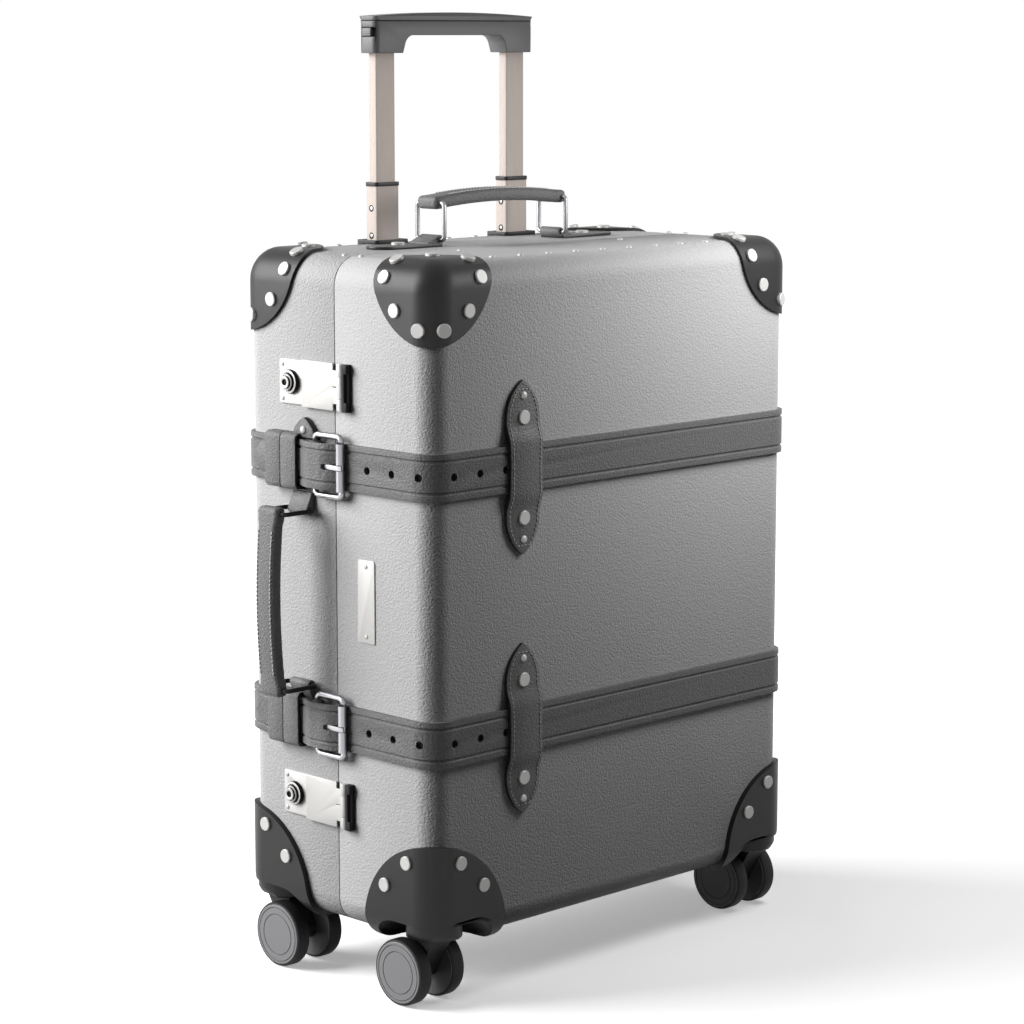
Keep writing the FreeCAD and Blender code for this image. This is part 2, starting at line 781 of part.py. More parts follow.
def strap_tail(name, z):
    """The strap's free end: up through the buckle, over its bar and down into the keepers."""
    crest = roll_radius + roll_wall
    low = [(seam + touch_gap, touch_gap), (tail_slack, tail_rise), (buckle_pivot - crest, tail_lift),
           (buckle_pivot + crest, tail_lift), (keeper_start, tail_rest), (tail_end, tail_rest)]
    under = [(-side - lift, y) for y, lift in low]
    over = [(-side - lift - tail_thick, y) for y, lift in low]
    owner = body(name + "Run")
    pad(owner, outline(owner, "XY_Plane", (under + over[::-1], {})), strap_width)
    place(owner, 0, 0, z - strap_width / 2)
    half = strap_width / 2
    shoulder = tail_end - tail_point
    face = [(0, -half), (shoulder, -half), (tail_end, 0), (shoulder, half), (0, half)]
    pointed = body(name + "Face")
    pad(pointed, outline(pointed, "YZ_Plane", (face, {})), tail_lift * 2)
    place(pointed, -side - tail_lift * 2, 0, z)
    slot = box(name + "Slot", (-side - tail_lift * 2, -side),
               (seam + tail_thick, buckle_pivot - roll_radius - prong_slot), (z - half_slot, z + half_slot))
    return cut(name, common(name + "Cut", [owner, pointed]), slot)


def keeper(name, y, z):
    owner = body(name)
    lift = tail_rest + tail_thick + touch_gap + keeper_wall
    half = keeper_height / 2
    low = half - keeper_wall
    outer = -side - lift
    inner = outer + keeper_wall
    points = [(-side, -half), (outer, -half), (outer, half), (-side, half), (-side, low), (inner, low),
              (inner, -low), (-side, -low)]
    pad(owner, outline(owner, "XZ_Plane", (points, {})), keeper_band)
    return place(owner, 0, y + keeper_band, z)


def buckle_prong(name, z):
    """The prong, hooked round the buckle's bar and resting on the far side of the frame."""
    rest = wire_radius + touch_gap
    tip = buckle_reach + wire_radius * 2
    bend = buckle_reach - wire_radius * 2
    owner = body(name + "Arm")
    outer = -rest - prong_thick
    points = [(0, 0), (-rest, -bend), (-rest, -tip), (outer, -tip), (outer, -bend), (-prong_thick, 0)]
    pad(owner, outline(owner, "XY_Plane", (points, {})), prong_width)
    place(owner, 0, 0, -prong_width / 2)
    foot = (0, 0, -prong_width / 2)
    eye = rod(name + "Eye", "Z", bar_bore + eye_wall, foot, prong_width)
    bore = rod(name + "Bore", "Z", bar_bore, foot, prong_width)
    hook = cut(name, join(name + "Hook", [owner, eye]), bore)
    return place(hook, -side - buckle_lift, buckle_pivot, z, TURNS["Z"])


def strap_loop(name, z):
    """A leaf of leather riveted to the lid at both ends and raised over the strap."""
    half = loop_height / 2
    clear = strap_width / 2 + touch_gap * 2
    lift = strap_thick + touch_gap
    top = lift + loop_thick
    bridge = body(name + "Bridge")
    far = -half_depth
    flat = far - loop_thick
    foot = clear + loop_slope
    points = [(far, -half), (flat, -half), (flat, -foot), (far - top, -clear), (far - top, clear),
              (flat, foot), (flat, half), (far, half), (far, clear), (far - lift, clear),
              (far - lift, -clear), (far, -clear)]
    pad(bridge, outline(bridge, "YZ_Plane", (points[::-1], {})), loop_width)
    place(bridge, -loop_x - loop_width / 2, 0, z)
    wide = loop_width / 2
    rise = half - loop_shoulder
    tip_round = (wide * wide + rise * rise) / (wide * 2)
    slim = wide - loop_waist
    waist_round = (slim * slim + loop_shoulder * loop_shoulder) / (slim * 2)
    leaf = body(name + "Leaf")
    points = [(0, -half), (wide, -loop_shoulder), (loop_waist, 0), (wide, loop_shoulder), (0, half),
              (-wide, loop_shoulder), (-loop_waist, 0), (-wide, -loop_shoulder)]
    tip = (tip_round, 1)
    waist = (waist_round, -1)
    pad(leaf, outline(leaf, "XZ_Plane", (points, dict(enumerate([tip, waist, waist, tip] * 2)))), top * 2)
    place(leaf, -loop_x, -half_depth + top / 2, z)
    return common(name, [bridge, leaf])


def loop_rivets(name, z):
    """Two flat rivets and two small ones that hold a loop's ends."""
    face = half_depth + loop_thick
    for sign in (-1, 1):
        for rank, away, radius in (("Big", loop_rivet, rivet_radius),
                                   ("Tip", loop_tip_rivet, small_rivet_radius)):
            yield rod(f"{name}{rank}{sign}", "Y", radius,
                      (-loop_x, -face - rivet_head, z + away * sign), rivet_head)


STRAPS = (("upper", strap_upper), ("lower", strap_lower))
lid_straps = []
base_straps = []
tails = []
keepers = []
loops = []
loop_heads = []
for rank, z in STRAPS:
    lid_straps.append(lid_strap(f"LidStrap_{rank}", z))
    base_straps.append(base_strap(f"BaseStrap_{rank}", z))
    tails.append(strap_tail(f"Tail_{rank}", z))
    for step in range(2):
        keepers.append(keeper(f"Keeper_{rank}{step}", keeper_start + (keeper_band + keeper_gap) * step, z))
    loops.append(strap_loop(f"Loop_{rank}", z))
    loop_heads += loop_rivets(f"LoopRivet_{rank}", z)
    frame_loop = rounded(-buckle_reach, 0, -buckle_height / 2, buckle_height / 2, wire_bend)
    buckle = wire(f"Buckle_{rank}", frame_loop, "XY_Plane", wire_radius)
    node(f"{rank}_buckle_frame", place(buckle, -side - buckle_lift, buckle_pivot, z))
    node(f"{rank}_buckle_prong", buckle_prong(f"Prong_{rank}", z))
node("lid_straps", group("LidStraps", lid_straps))
node("base_straps", group("BaseStraps", base_straps))
node("strap_tails", group("StrapTails", tails))
node("strap_keepers", group("StrapKeepers", keepers))
node("lid_loops", group("LidLoops", loops))
node("back_loops", mirror("BackLoops", group("LoopPair", loops), THROUGH))
loop_rivet_pair = group("LoopRivets", loop_heads)
lid_rivets.append(loop_rivet_pair)
base_rivets.append(mirror("BackLoopRivets", loop_rivet_pair, THROUGH))


# Locks, name plate and lid hinges


def stand(low, high):
    """A span of heights above the case's left side, as X."""
    return -side - high, -side - low


def lock_plate(name, z):
    half = lock_plate_height / 2
    plate = box(name + "Plate", stand(0, lock_plate_thick), (seam, lock_plate_end), (z - half, z + half))
    foot = (-side - collar_height, collar_y, z)
    collar = rod(name + "Collar", "X", collar_radius, foot, collar_height)
    bore = rod(name + "Bore", "X", key_radius + touch_gap, foot, collar_height)
    return cut(name, join(name + "Solid", [plate, collar]), bore)


def lock_button(name, z):
    """The stepped push button inside the lock's collar."""
    bottom = key_travel + touch_gap
    step = key_height - key_step
    wide = rod(name + "Wide", "X", key_radius, (-side - step, collar_y, z), step - bottom)
    slim = rod(name + "Slim", "X", key_radius - key_step, (-side - key_height, collar_y, z), key_step)
    return join(name, [wide, slim])


def hasp(name, z):
    """The flap that folds over the lock plate, hung on one knuckle in the middle of its edge."""
    under = lock_plate_thick + touch_gap
    half = hasp_height / 2
    middle = knuckle_length / 2
    lift = stand(under, under + hasp_thick)
    flap = box(name + "Flap", lift, (-hasp_start, hasp_end), (z - half, z + half))
    web = box(name + "Web", lift, (-hasp_axis_y, -hasp_start), (z - middle, z + middle))
    foot = (-side - hasp_axis_lift, -hasp_axis_y, z - middle)
    knuckle = rod(name + "Knuckle", "Z", knuckle_radius, foot, knuckle_length)
    bore = rod(name + "Bore", "Z", hasp_pin_radius + pin_gap, foot, knuckle_length)
    return cut(name, join(name + "Solid", [flap, web, knuckle]), bore)


def hasp_block(name, z):
    """The block on the lid with the two knuckles and the riveted pin that the hasp turns on."""
    half = hasp_height / 2
    near = knuckle_length / 2 + touch_gap
    face = -(hasp_axis_y + knuckle_radius + touch_gap)
    pieces = [box(name + "Block", stand(0, block_lift), (-block_end, face), (z - half, z + half))]
    for sign, low in ((-1, z - half), (1, z + near)):
        foot = (-side - hasp_axis_lift, -hasp_axis_y, low)
        pieces.append(rod(f"{name}Knuckle{sign}", "Z", knuckle_radius, foot, half - near))
        pieces.append(box(f"{name}Web{sign}", stand(0, hasp_axis_lift), (face, -hasp_axis_y),
                          (low, low + half - near)))
    pieces.append(rod(name + "Pin", "Z", hasp_pin_radius,
                      (-side - hasp_axis_lift, -hasp_axis_y, z - half), hasp_height))
    return join(name, pieces)


def hinge_leaf_solid(name, z, sign, spans):
    """One leaf of a lid hinge on the right side: sign 1 is the base's, -1 the lid's."""
    near = seam + touch_gap

    def reach(low, high):
        return (low, high) if sign > 0 else (-high, -low)

    half = hinge_length / 2
    pieces = [box(name + "Leaf", (side, side + hinge_leaf_thick), reach(near, hinge_leaf),
                  (z - half, z + half))]
    bores = []
    for number, (low, high) in enumerate(spans):
        foot = (side + hinge_offset, 0, z + low)
        pieces.append(rod(f"{name}Knuckle{number}", "Z", hinge_barrel, foot, high - low))
        pieces.append(box(f"{name}Web{number}", (side, side + hinge_offset), reach(near, hinge_barrel),
                          (z + low, z + high)))
        bores.append(rod(f"{name}Bore{number}", "Z", hinge_pin_radius + pin_gap, foot, high - low))
    return cut(name, join(name + "Solid", pieces), group(name + "Bores", bores))


LOCKS = (("upper", lock_upper_z), ("lower", lock_lower_z))
lock_plates = []
hasp_blocks = []
base_leaves = []
lid_leaves = []
hinge_pins = []
half_hinge = hinge_length / 2
half_middle = hinge_middle / 2
knuckle_gap = half_middle + touch_gap
for rank, z in LOCKS:
    lock_plates.append(lock_plate(f"LockPlate_{rank}", z))
    node(f"{rank}_lock_button", lock_button(f"LockButton_{rank}", z))
    node(f"{rank}_hasp", hasp(f"Hasp_{rank}", z))
    hasp_blocks.append(hasp_block(f"HaspBlock_{rank}", z))
    outer_knuckles = [(-half_hinge, -knuckle_gap), (knuckle_gap, half_hinge)]
    base_leaves.append(hinge_leaf_solid(f"BaseLeaf_{rank}", z, 1, outer_knuckles))
    lid_leaves.append(hinge_leaf_solid(f"LidLeaf_{rank}", z, -1, [(-half_middle, half_middle)]))
    hinge_pins.append(rod(f"HingePin_{rank}", "Z", hinge_pin_radius,
                          (side + hinge_offset, 0, z - half_hinge), hinge_length))
node("lock_plates", group("LockPlates", lock_plates))
node("hasp_hinge_blocks", group("HaspBlocks", hasp_blocks))
node("base_hinge_leaves", group("BaseLeaves", base_leaves))
node("lid_hinge_leaves", group("LidLeaves", lid_leaves))
node("hinge_pins", group("HingePins", hinge_pins))

plate_z = (strap_upper + strap_lower) / 2
node("nameplate", box("NamePlate", stand(0, plate_thick),
                      (-plate_y - plate_width / 2, plate_width / 2 - plate_y),
                      (plate_z - plate_height / 2, plate_z + plate_height / 2)))
for sign in (-1, 1):
    lid_rivets.append(rod(f"PlateRivet{sign}", "X", plate_rivet_radius,
                          (-side - plate_thick * 2, -plate_y, plate_z + plate_rivet * sign), plate_thick))


# Carrying handles on the top and on the left side

tab_hide = keeper_height / 2 + touch_gap


def handle_spot(on_side, along, out):
    """A place on a handle, along it and out from the case, for the top or for the left side."""
    if on_side:
        return -side - out, handle_y, side_handle_z + along
    return along, handle_y, case_top + out


def handle_tab(name, on_side, sign):
    """The leather tab that is rolled round the foot of a ring and riveted to the case."""
    owner = body(name + "Flat")
    half = tab_width / 2
    straight = tab_length - half
    points = [(0, -half), (straight, -half), (tab_length, 0), (straight, half), (0, half)]
    pad(owner, outline(owner, "XY_Plane", (points, {1: (half, 1), 2: (half, 1)})), tab_thick)
    foot = (0, -roll_length / 2, bar_lift)
    roll = rod(name + "Roll", "Y", roll_radius, foot, roll_length)
    web = box(name + "Web", (0, roll_radius), (-roll_length / 2, roll_length / 2), (0, bar_lift))
    bore = rod(name + "Bore", "Y", bar_bore, foot, roll_length)
    tab = cut(name, join(name + "Solid", [owner, roll, web]), bore)
    turn = TURNS["Z"] if sign > 0 else HALF_TURN
    place(tab, *handle_spot(on_side, handle_span / 2 * sign, 0),
          turn=ONTO_SIDE * turn if on_side else turn)
    if not on_side:
        return tab
    z = strap_upper if sign > 0 else strap_lower
    under = box(name + "Under", (-case_width, 0), (0, half_depth), (z - tab_hide, z + tab_hide))
    return cut(name + "Shown", tab, under)


def handle_grip(name, on_side):
    """The arched leather grip with a bore at each end for its ring."""
    owner = body(name + "Leather")
    reach = handle_span / 2
    half = grip_thick / 2
    arch_round = (reach * reach + grip_arch * grip_arch) / (grip_arch * 2)
    end_round = grip_thick * GRIP_END_SHARE
    points = [(-reach, -half), (reach, -half), (reach, half), (-reach, half)]
    arcs = {0: (arch_round, -1), 1: (end_round, 1), 2: (arch_round, 1), 3: (end_round, 1)}
    slab = pad(owner, outline(owner, "XZ_Plane", (points, arcs)), grip_width)
    round_edges(owner, slab, grip_round, at_ends_y)
    place(owner, 0, grip_width / 2, 0)
    bores = [rod(f"{name}Bore{sign}", "Y", bar_bore, (reach * sign, -grip_width / 2, 0), grip_width)
             for sign in (-1, 1)]
    grip = cut(name, owner, group(name + "Bores", bores))
    return place(grip, *handle_spot(on_side, 0, bar_lift + ring_reach),
                 turn=ONTO_SIDE if on_side else TURNS["Z"])


tabs = []
ring_loop = rounded(-ring_width / 2, ring_width / 2, 0, ring_reach, ring_bend)
for place_name, on_side, ends in (("top", False, ("left", "right")), ("side", True, ("lower", "upper"))):
    for sign, end in zip((-1, 1), ends):
        name = f"{place_name}_handle_ring_{end}"
        ring = wire(f"Ring_{place_name}_{end}", ring_loop, "XZ_Plane", wire_radius)
        node(name, place(ring, *handle_spot(on_side, handle_span / 2 * sign, bar_lift),
                         turn=ONTO_SIDE if on_side else TURNS["Z"]))
        tabs.append(handle_tab(f"Tab_{place_name}_{end}", on_side, sign))
        rivet_along = (handle_span / 2 + tab_rivet) * sign
        if not on_side:
            base_rivets.append(rod(f"TabRivet_{end}", "Z", rivet_radius,
                                   handle_spot(False, rivet_along, tab_thick), rivet_head))
    node(f"{place_name}_handle_grip", handle_grip(f"Grip_{place_name}", on_side))
node("handle_tabs", group("HandleTabs", tabs))
node("lid_rivets", group("LidRivets", lid_rivets))
node("base_rivets", group("BaseRivets", base_rivets))


# Trolley handle


def post(name, sign, wide, deep, z):
    middle = post_x * sign
    return box(name, (middle - wide / 2, middle + wide / 2), (post_y - deep / 2, post_y + deep / 2), z)


def tube_pair(label, outside, inside, z):
    """A pair of rectangular tubes, given as (wide, deep) outside and inside."""
    tubes = []
    for sign, hand in ((-1, "left"), (1, "right")):
        name = f"{label}_{hand}"
        tubes.append(cut(name, post(name + "Out", sign, *outside, z), post(name + "In", sign, *inside, z)))
    return node(label, group(label + "_pair", tubes))


slide_bore = (middle_wide + tube_gap * 2, middle_deep + tube_gap * 2)
inner_bore = (inner_wide + tube_gap * 2, inner_deep + tube_gap * 2)
tube_pair("trolley_outer_tubes", (outer_wide, outer_deep), slide_bore, (post_foot, post_rim))
tube_pair("trolley_middle_tubes", (middle_wide, middle_deep), inner_bore,
          (middle_top - middle_length, middle_top))
tube_pair("trolley_collars", (middle_wide + collar_lip * 2, middle_deep + collar_lip * 2), inner_bore,
          (middle_top, middle_top + collar_tall))
tube_pair("trolley_inner_tubes", (inner_wide, inner_deep),
          (inner_wide - tube_wall * 2, inner_deep - tube_wall * 2),
          (grip_bottom - inner_length, grip_bottom))

bezels = []
for sign, hand in ((-1, "left"), (1, "right")):
    span_z = (case_top - edge_radius / 2, case_top + bezel_tall)
    block = post(f"Bezel_{hand}Block", sign, outer_wide + bezel_margin * 2,
                 outer_deep + bezel_margin * 2, span_z)
    hole = post_hole(f"Bezel_{hand}Hole", sign, touch_gap, span_z)
    bezels.append(cut(f"Bezel_{hand}", cut(f"Bezel_{hand}Seated", block, case_form), hole))
node("trolley_bezels", group("Bezels", bezels))

foot_half = post_x + outer_wide / 2 + bezel_margin
node("trolley_foot_bracket", box("FootBracket", (-foot_half, foot_half),
                                 (post_y - outer_deep / 2, post_y + outer_deep / 2),
                                 (post_foot - foot_tall, post_foot)))


def trolley_grip():
    """The moulded grip: two legs, a hollow underside and a crowned top, pocketed for its end buttons."""
    owner = body("TrolleyGripMould")
    top = grip_bottom + grip_tall
    roof = grip_bottom + grip_hollow
    leg = grip_half - grip_leg
    slant = leg - grip_slant
    flat = slant - grip_hollow_round
    spring = roof - grip_hollow_round
    points = [(-grip_half, grip_bottom), (-leg, grip_bottom), (-slant, spring), (-flat, roof), (flat, roof),
              (slant, spring), (leg, grip_bottom), (grip_half, grip_bottom), (grip_half, top),
              (-grip_half, top)]
    crown = (grip_half * grip_half + grip_crown * grip_crown) / (grip_crown * 2)
    arcs = {2: (grip_hollow_round, -1), 4: (grip_hollow_round, -1), 8: (crown, 1)}
    slab = pad(owner, outline(owner, "XZ_Plane", (points, arcs)), grip_deep)
    soft = round_edges(owner, slab, grip_corner, upper_along_y)
    round_edges(owner, soft, trolley_round, at_ends_y)
    place(owner, 0, post_y + grip_deep / 2, 0)
    pockets = [press_block(f"Pocket{sign}", sign, 0, press_long + press_travel, touch_gap)
               for sign in (-1, 1)]
    return cut("TrolleyGrip", owner, group("Pockets", pockets))


def press_block(name, sign, proud, depth, grow):
    """A block in an end of the grip: the press button itself or the pocket that it moves in."""
    outer = grip_half + proud
    inner = grip_half - depth
    x = (inner, outer) if sign > 0 else (-outer, -inner)
    half_wide = press_wide / 2 + grow
    half_tall = press_tall / 2 + grow
    return box(name, x, (post_y - half_wide, post_y + half_wide), (press_z - half_tall, press_z + half_tall))


node("trolley_grip", trolley_grip())
for sign, hand in ((-1, "left"), (1, "right")):
    node(f"grip_button_{hand}", press_block(f"GripButton_{hand}", sign, press_proud, press_long, 0))


doc.recompute()
os.makedirs("parts", exist_ok=True)
faults = [f"{item.Name} is {item.State}" for item in doc.Objects
          if "Invalid" in item.State or "Error" in item.State]
for label, item in nodes.items():
    if item.Shape.isNull() or not item.Shape.isValid() or not item.Shape.Solids:
        faults.append(f"{label} has no sound solid")
if faults:
    raise RuntimeError("; ".join(faults))
for label, item in nodes.items():
    item.Shape.exportStep(f"parts/{label}.step")
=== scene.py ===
# %% [markdown]
# # A strapped carry-on suitcase
# The solids of the case come from its CAD model, already in place and in metres. This lesson gives the
# case its looks: the grained shell, the leather, the plated metal and the rubber. Each step says what a
# piece is on the real case and how it is made here.

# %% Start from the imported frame
import json
import math

import bpy
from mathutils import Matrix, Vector


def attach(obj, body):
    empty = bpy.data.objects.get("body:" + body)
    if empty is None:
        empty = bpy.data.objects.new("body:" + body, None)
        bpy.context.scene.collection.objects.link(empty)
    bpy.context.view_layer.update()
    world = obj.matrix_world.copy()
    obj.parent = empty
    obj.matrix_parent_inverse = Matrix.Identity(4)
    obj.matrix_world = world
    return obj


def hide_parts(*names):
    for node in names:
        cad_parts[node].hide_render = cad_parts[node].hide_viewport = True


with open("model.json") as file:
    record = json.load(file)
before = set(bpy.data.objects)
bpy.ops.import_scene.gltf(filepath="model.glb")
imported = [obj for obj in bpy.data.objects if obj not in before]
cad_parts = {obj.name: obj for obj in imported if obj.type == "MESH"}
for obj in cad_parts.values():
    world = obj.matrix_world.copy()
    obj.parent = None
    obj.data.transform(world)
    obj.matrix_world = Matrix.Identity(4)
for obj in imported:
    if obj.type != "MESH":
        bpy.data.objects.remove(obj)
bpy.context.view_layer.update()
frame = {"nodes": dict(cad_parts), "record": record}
MM = 0.001

# %% [markdown]
# ## Colours and nodes
# A colour is written as the hex value a paint program shows. Blender's shaders want linear light, so one
# function turns the hex value round. A second function adds a shader node, and all patterns are built
# with it. Their scale is one over a real size, because Object coordinates are in metres.

# %% Small helpers for finishes


def linear(hex_colour):
    """Turn an sRGB hex colour into linear RGBA."""
    parts = [int(hex_colour[place:place + 2], 16) / 255 for place in (1, 3, 5)]
    return [*(part / 12.92 if part <= 0.04045 else ((part + 0.055) / 1.055) ** 2.4 for part in parts), 1]


def per_mm(size):
    """The texture scale at which one cell or wave is this many millimetres wide."""
    return 1 / (size * MM)


def add_node(tree, kind, inputs=(), **settings):
    """Add a shader node with its settings, and set or link its inputs."""
    made = tree.nodes.new(kind)
    for key, value in settings.items():
        setattr(made, key, value)
    for socket, value in dict(inputs).items():
        if isinstance(value, bpy.types.NodeSocket):
            tree.links.new(value, made.inputs[socket])
        else:
            made.inputs[socket].default_value = value
    return made


def start_finish(name, hex_colour, roughness, metallic=0.0, specular=0.5):
    """A new material, its node tree, its shader and the piece's own coordinates."""
    material = bpy.data.materials.new(name)
    material.use_nodes = True
    tree = material.node_tree
    shader = tree.nodes["Principled BSDF"]
    shader.inputs["Base Color"].default_value = linear(hex_colour)
    shader.inputs["Roughness"].default_value = roughness
    shader.inputs["Metallic"].default_value = metallic
    shader.inputs["Specular IOR Level"].default_value = specular
    place = add_node(tree, "ShaderNodeTexCoord").outputs["Object"]
    return material, tree, shader, place


def relief(tree, shader, height, depth):
    """Let a pattern's height tilt the light on the surface, by a depth in millimetres."""
    bump = add_node(tree, "ShaderNodeBump", {"Height": height, "Distance": depth * MM, "Strength": 1.0})
    tree.links.new(bump.outputs["Normal"], shader.inputs["Normal"])


def vary_colour(tree, shader, amount, low_hex, high_hex):
    """Run the base colour between two hex colours along a pattern."""
    ramp = add_node(tree, "ShaderNodeValToRGB", {"Fac": amount})
    ramp.color_ramp.elements[0].color = linear(low_hex)
    ramp.color_ramp.elements[1].color = linear(high_hex)
    tree.links.new(ramp.outputs["Color"], shader.inputs["Base Color"])
    return ramp


# %% [markdown]
# ## The finishes
# The shell is board under a coated paper that was embossed with a pebble grain, so it is pale, dull and
# full of small rounded bumps. The leather has the same kind of grain, smaller and darker. Pebbles are the
# cells of a Voronoi pattern: its smooth distance is high at the edges and low in the middle of a cell, and
# a little noise bends the cells so that no two look alike. A cell is about 1.5 mm wide, a usual pebble size.

# %% Grained shell and leather
# In pebble widths: the noise that bends the cells, how far it pushes them, and the finer noise on top.
BEND_NOISE, BEND, FINE_NOISE = 2.2, 1.2, 0.9
PALE_FROM = 0.45


def pebbles(tree, place, cell):
    """Rounded pebble heights with cells of a size in millimetres, pushed about by noise."""
    noise = add_node(tree, "ShaderNodeTexNoise",
                     {"Vector": place, "Scale": per_mm(cell * BEND_NOISE), "Detail": 2.0, "Roughness": 0.5})
    push = add_node(tree, "ShaderNodeVectorMath",
                    {0: noise.outputs["Color"], "Scale": cell * BEND * MM}, operation="SCALE")
    moved = add_node(tree, "ShaderNodeVectorMath", {0: place, 1: push.outputs["Vector"]}, operation="ADD")
    cells = add_node(tree, "ShaderNodeTexVoronoi",
                     {"Vector": moved.outputs["Vector"], "Scale": per_mm(cell), "Smoothness": 0.6},
                     feature="SMOOTH_F1")
    rough = add_node(tree, "ShaderNodeTexNoise",
                     {"Vector": place, "Scale": per_mm(cell * FINE_NOISE), "Detail": 3.0, "Roughness": 0.6})
    return add_node(tree, "ShaderNodeMath",
                    {0: rough.outputs["Fac"], 1: cells.outputs["Distance"]}, operation="SUBTRACT")


def grained(name, low_hex, high_hex, roughness, cell, depth, specular):
    """A pebble-grained finish, a little darker down in the grain."""
    material, tree, shader, place = start_finish(name, high_hex, roughness, specular=specular)
    # Cycles softens bumps near the edge of a shadow. Without that, the grain shows all over.
    material.cycles.use_bump_map_correction = False
    height = pebbles(tree, place, cell)
    relief(tree, shader, height.outputs["Value"], depth)
    ramp = vary_colour(tree, shader, height.outputs["Value"], low_hex, high_hex)
    ramp.color_ramp.elements[1].position = PALE_FROM
    return material


FINISH = {
    # Embossed paper under a clear coat: pale and dull, with small soft highlights on the grain.
    "grained_shell": grained("embossed_board_coating", "#b4b4b4", "#bcbcbc", roughness=0.52, cell=1.6,
                             depth=0.32, specular=0.22),
    # Tanned, dyed and plated with a grain: darker, with a waxy gloss.
    "strap_leather": grained("grained_leather", "#666666", "#727272", roughness=0.42, cell=1.5, depth=0.36,
                             specular=0.25),
}
print("Grained finishes:", ", ".join(material.name for material in FINISH.values()))

# %% [markdown]
# ## Plated metal, black mouldings and rubber
# Nickel plate is a bright neutral metal with faint polishing marks, so its roughness wanders slightly. The
# corner caps are pressed and painted a satin black, which gives soft highlights. The posts are blasted and
# anodised, so their metal is matt and its reflections are blurred. Tread rubber is nearly black and dull,
# and a moulded plastic has a fine texture. Each gets only a faint pattern, because the eye should read the
# shape first. The lining is a woven cloth, drawn as two sets of waves across each other.

# %% Metals, plastics, rubber and cloth


def worn(name, hex_colour, roughness, metallic, grain, spread, depth=0.0, stretch=(1, 1, 1), specular=0.4):
    """A finish whose roughness wanders a little over a fine noise, with an optional relief."""
    material, tree, shader, place = start_finish(name, hex_colour, roughness, metallic, specular)
    drawn = add_node(tree, "ShaderNodeMapping", {"Vector": place, "Scale": stretch})
    noise = add_node(tree, "ShaderNodeTexNoise",
                     {"Vector": drawn.outputs["Vector"], "Scale": per_mm(grain), "Detail": 4.0})
    limits = {"To Min": roughness - spread, "To Max": roughness + spread}
    levels = add_node(tree, "ShaderNodeMapRange", {"Value": noise.outputs["Fac"], **limits})
    tree.links.new(levels.outputs["Result"], shader.inputs["Roughness"])
    if depth:
        relief(tree, shader, noise.outputs["Fac"], depth)
    return material


def woven(name, low_hex, high_hex, thread):
    """Woven cloth: two sets of thread waves, drawn coarser than life so that they show."""
    material, tree, shader, place = start_finish(name, high_hex, roughness=0.85, specular=0.2)
    shader.inputs["Sheen Weight"].default_value = 0.25
    waves = []
    for turn in ((0.0, 0.0, 0.0), (0.0, math.radians(90), 0.0)):
        turned = add_node(tree, "ShaderNodeMapping", {"Vector": place, "Rotation": turn})
        waves.append(add_node(tree, "ShaderNodeTexWave",
                              {"Vector": turned.outputs["Vector"], "Scale": per_mm(thread) / math.tau}))
    weave = add_node(tree, "ShaderNodeMath",
                     {0: waves[0].outputs["Fac"], 1: waves[1].outputs["Fac"]}, operation="MULTIPLY")
    relief(tree, shader, weave.outputs["Value"], depth=0.25)
    vary_colour(tree, shader, weave.outputs["Value"], low_hex, high_hex)
    return material


FINISH.update({
    # Plated and polished: bright, clear reflections.
    "nickel": worn("polished_nickel_plate", "#d6d4d0", roughness=0.2, metallic=1.0, grain=6, spread=0.05),
    # Plated dark: the same reflections, dimmer.
    "gunmetal": worn("dark_plated_steel", "#77777a", roughness=0.3, metallic=1.0, grain=5, spread=0.06),
    # Brushed upright: reflections break into fine upright lines.
    "hinge_steel": worn("brushed_steel", "#a9a9ab", roughness=0.34, metallic=1.0, grain=1.2, spread=0.08,
                        stretch=(1, 1, 0.05)),
    # Sprayed on pressed sheet: black with one soft, wide highlight.
    "corner_black": worn("satin_black_lacquer", "#0d0d0e", roughness=0.44, metallic=0.0, grain=5,
                         spread=0.04, depth=0.02, specular=0.3),
    # Blasted, drawn and anodised: a matt metal with a warm tint.
    "post_aluminium": worn("champagne_anodised_aluminium", "#a39b96", roughness=0.78, metallic=1.0,
                           grain=0.8, spread=0.05, stretch=(1, 1, 0.04)),
    # Moulded in an etched tool: dull, with a fine texture.
    "grip_plastic": worn("textured_grey_abs", "#5c5c5e", roughness=0.46, metallic=0.0, grain=1.2,
                         spread=0.05, depth=0.12),
    # Moulded: black and dull.
    "trim_black": worn("matt_black_abs", "#151516", roughness=0.48, metallic=0.0, grain=1.5, spread=0.05,
                       depth=0.05, specular=0.3),
    # Moulded rubber: nearly black, with hardly a highlight.
    "wheel_rubber": worn("black_tread_rubber", "#131314", roughness=0.6, metallic=0.0, grain=2, spread=0.06,
                         depth=0.05, specular=0.25),
    # Woven: dull crossing threads with a little sheen.
    "lining_cloth": woven("lining_twill", "#4d4d50", "#66666a", thread=1.2),
    # A coarser cloth glued over board.
    "panel_board": woven("panel_cloth_over_board", "#505053", "#6c6c70", thread=1.6),
})
print("Finishes by slot:", ", ".join(FINISH))

# %% Finishes of single pieces
# Moulded nylon: mid grey with a soft highlight.
HUB_GREY = worn("moulded_grey_nylon", "#808082", roughness=0.5, metallic=0.0, grain=2, spread=0.05,
                depth=0.04)
# Waxed thread: pale and dull.
THREAD = worn("waxed_linen_thread", "#b9b9b8", roughness=0.7, metallic=0.0, grain=0.6, spread=0.05,
              depth=0.05)
# Painted shade: a flat near-black for holes, gaps, recesses and shaded side walls, so they read as deep.
SHADOW_BLACK = worn("painted_shade_black", "#101011", roughness=0.5, metallic=0.0, grain=2, spread=0.05,
                    specular=0.1)
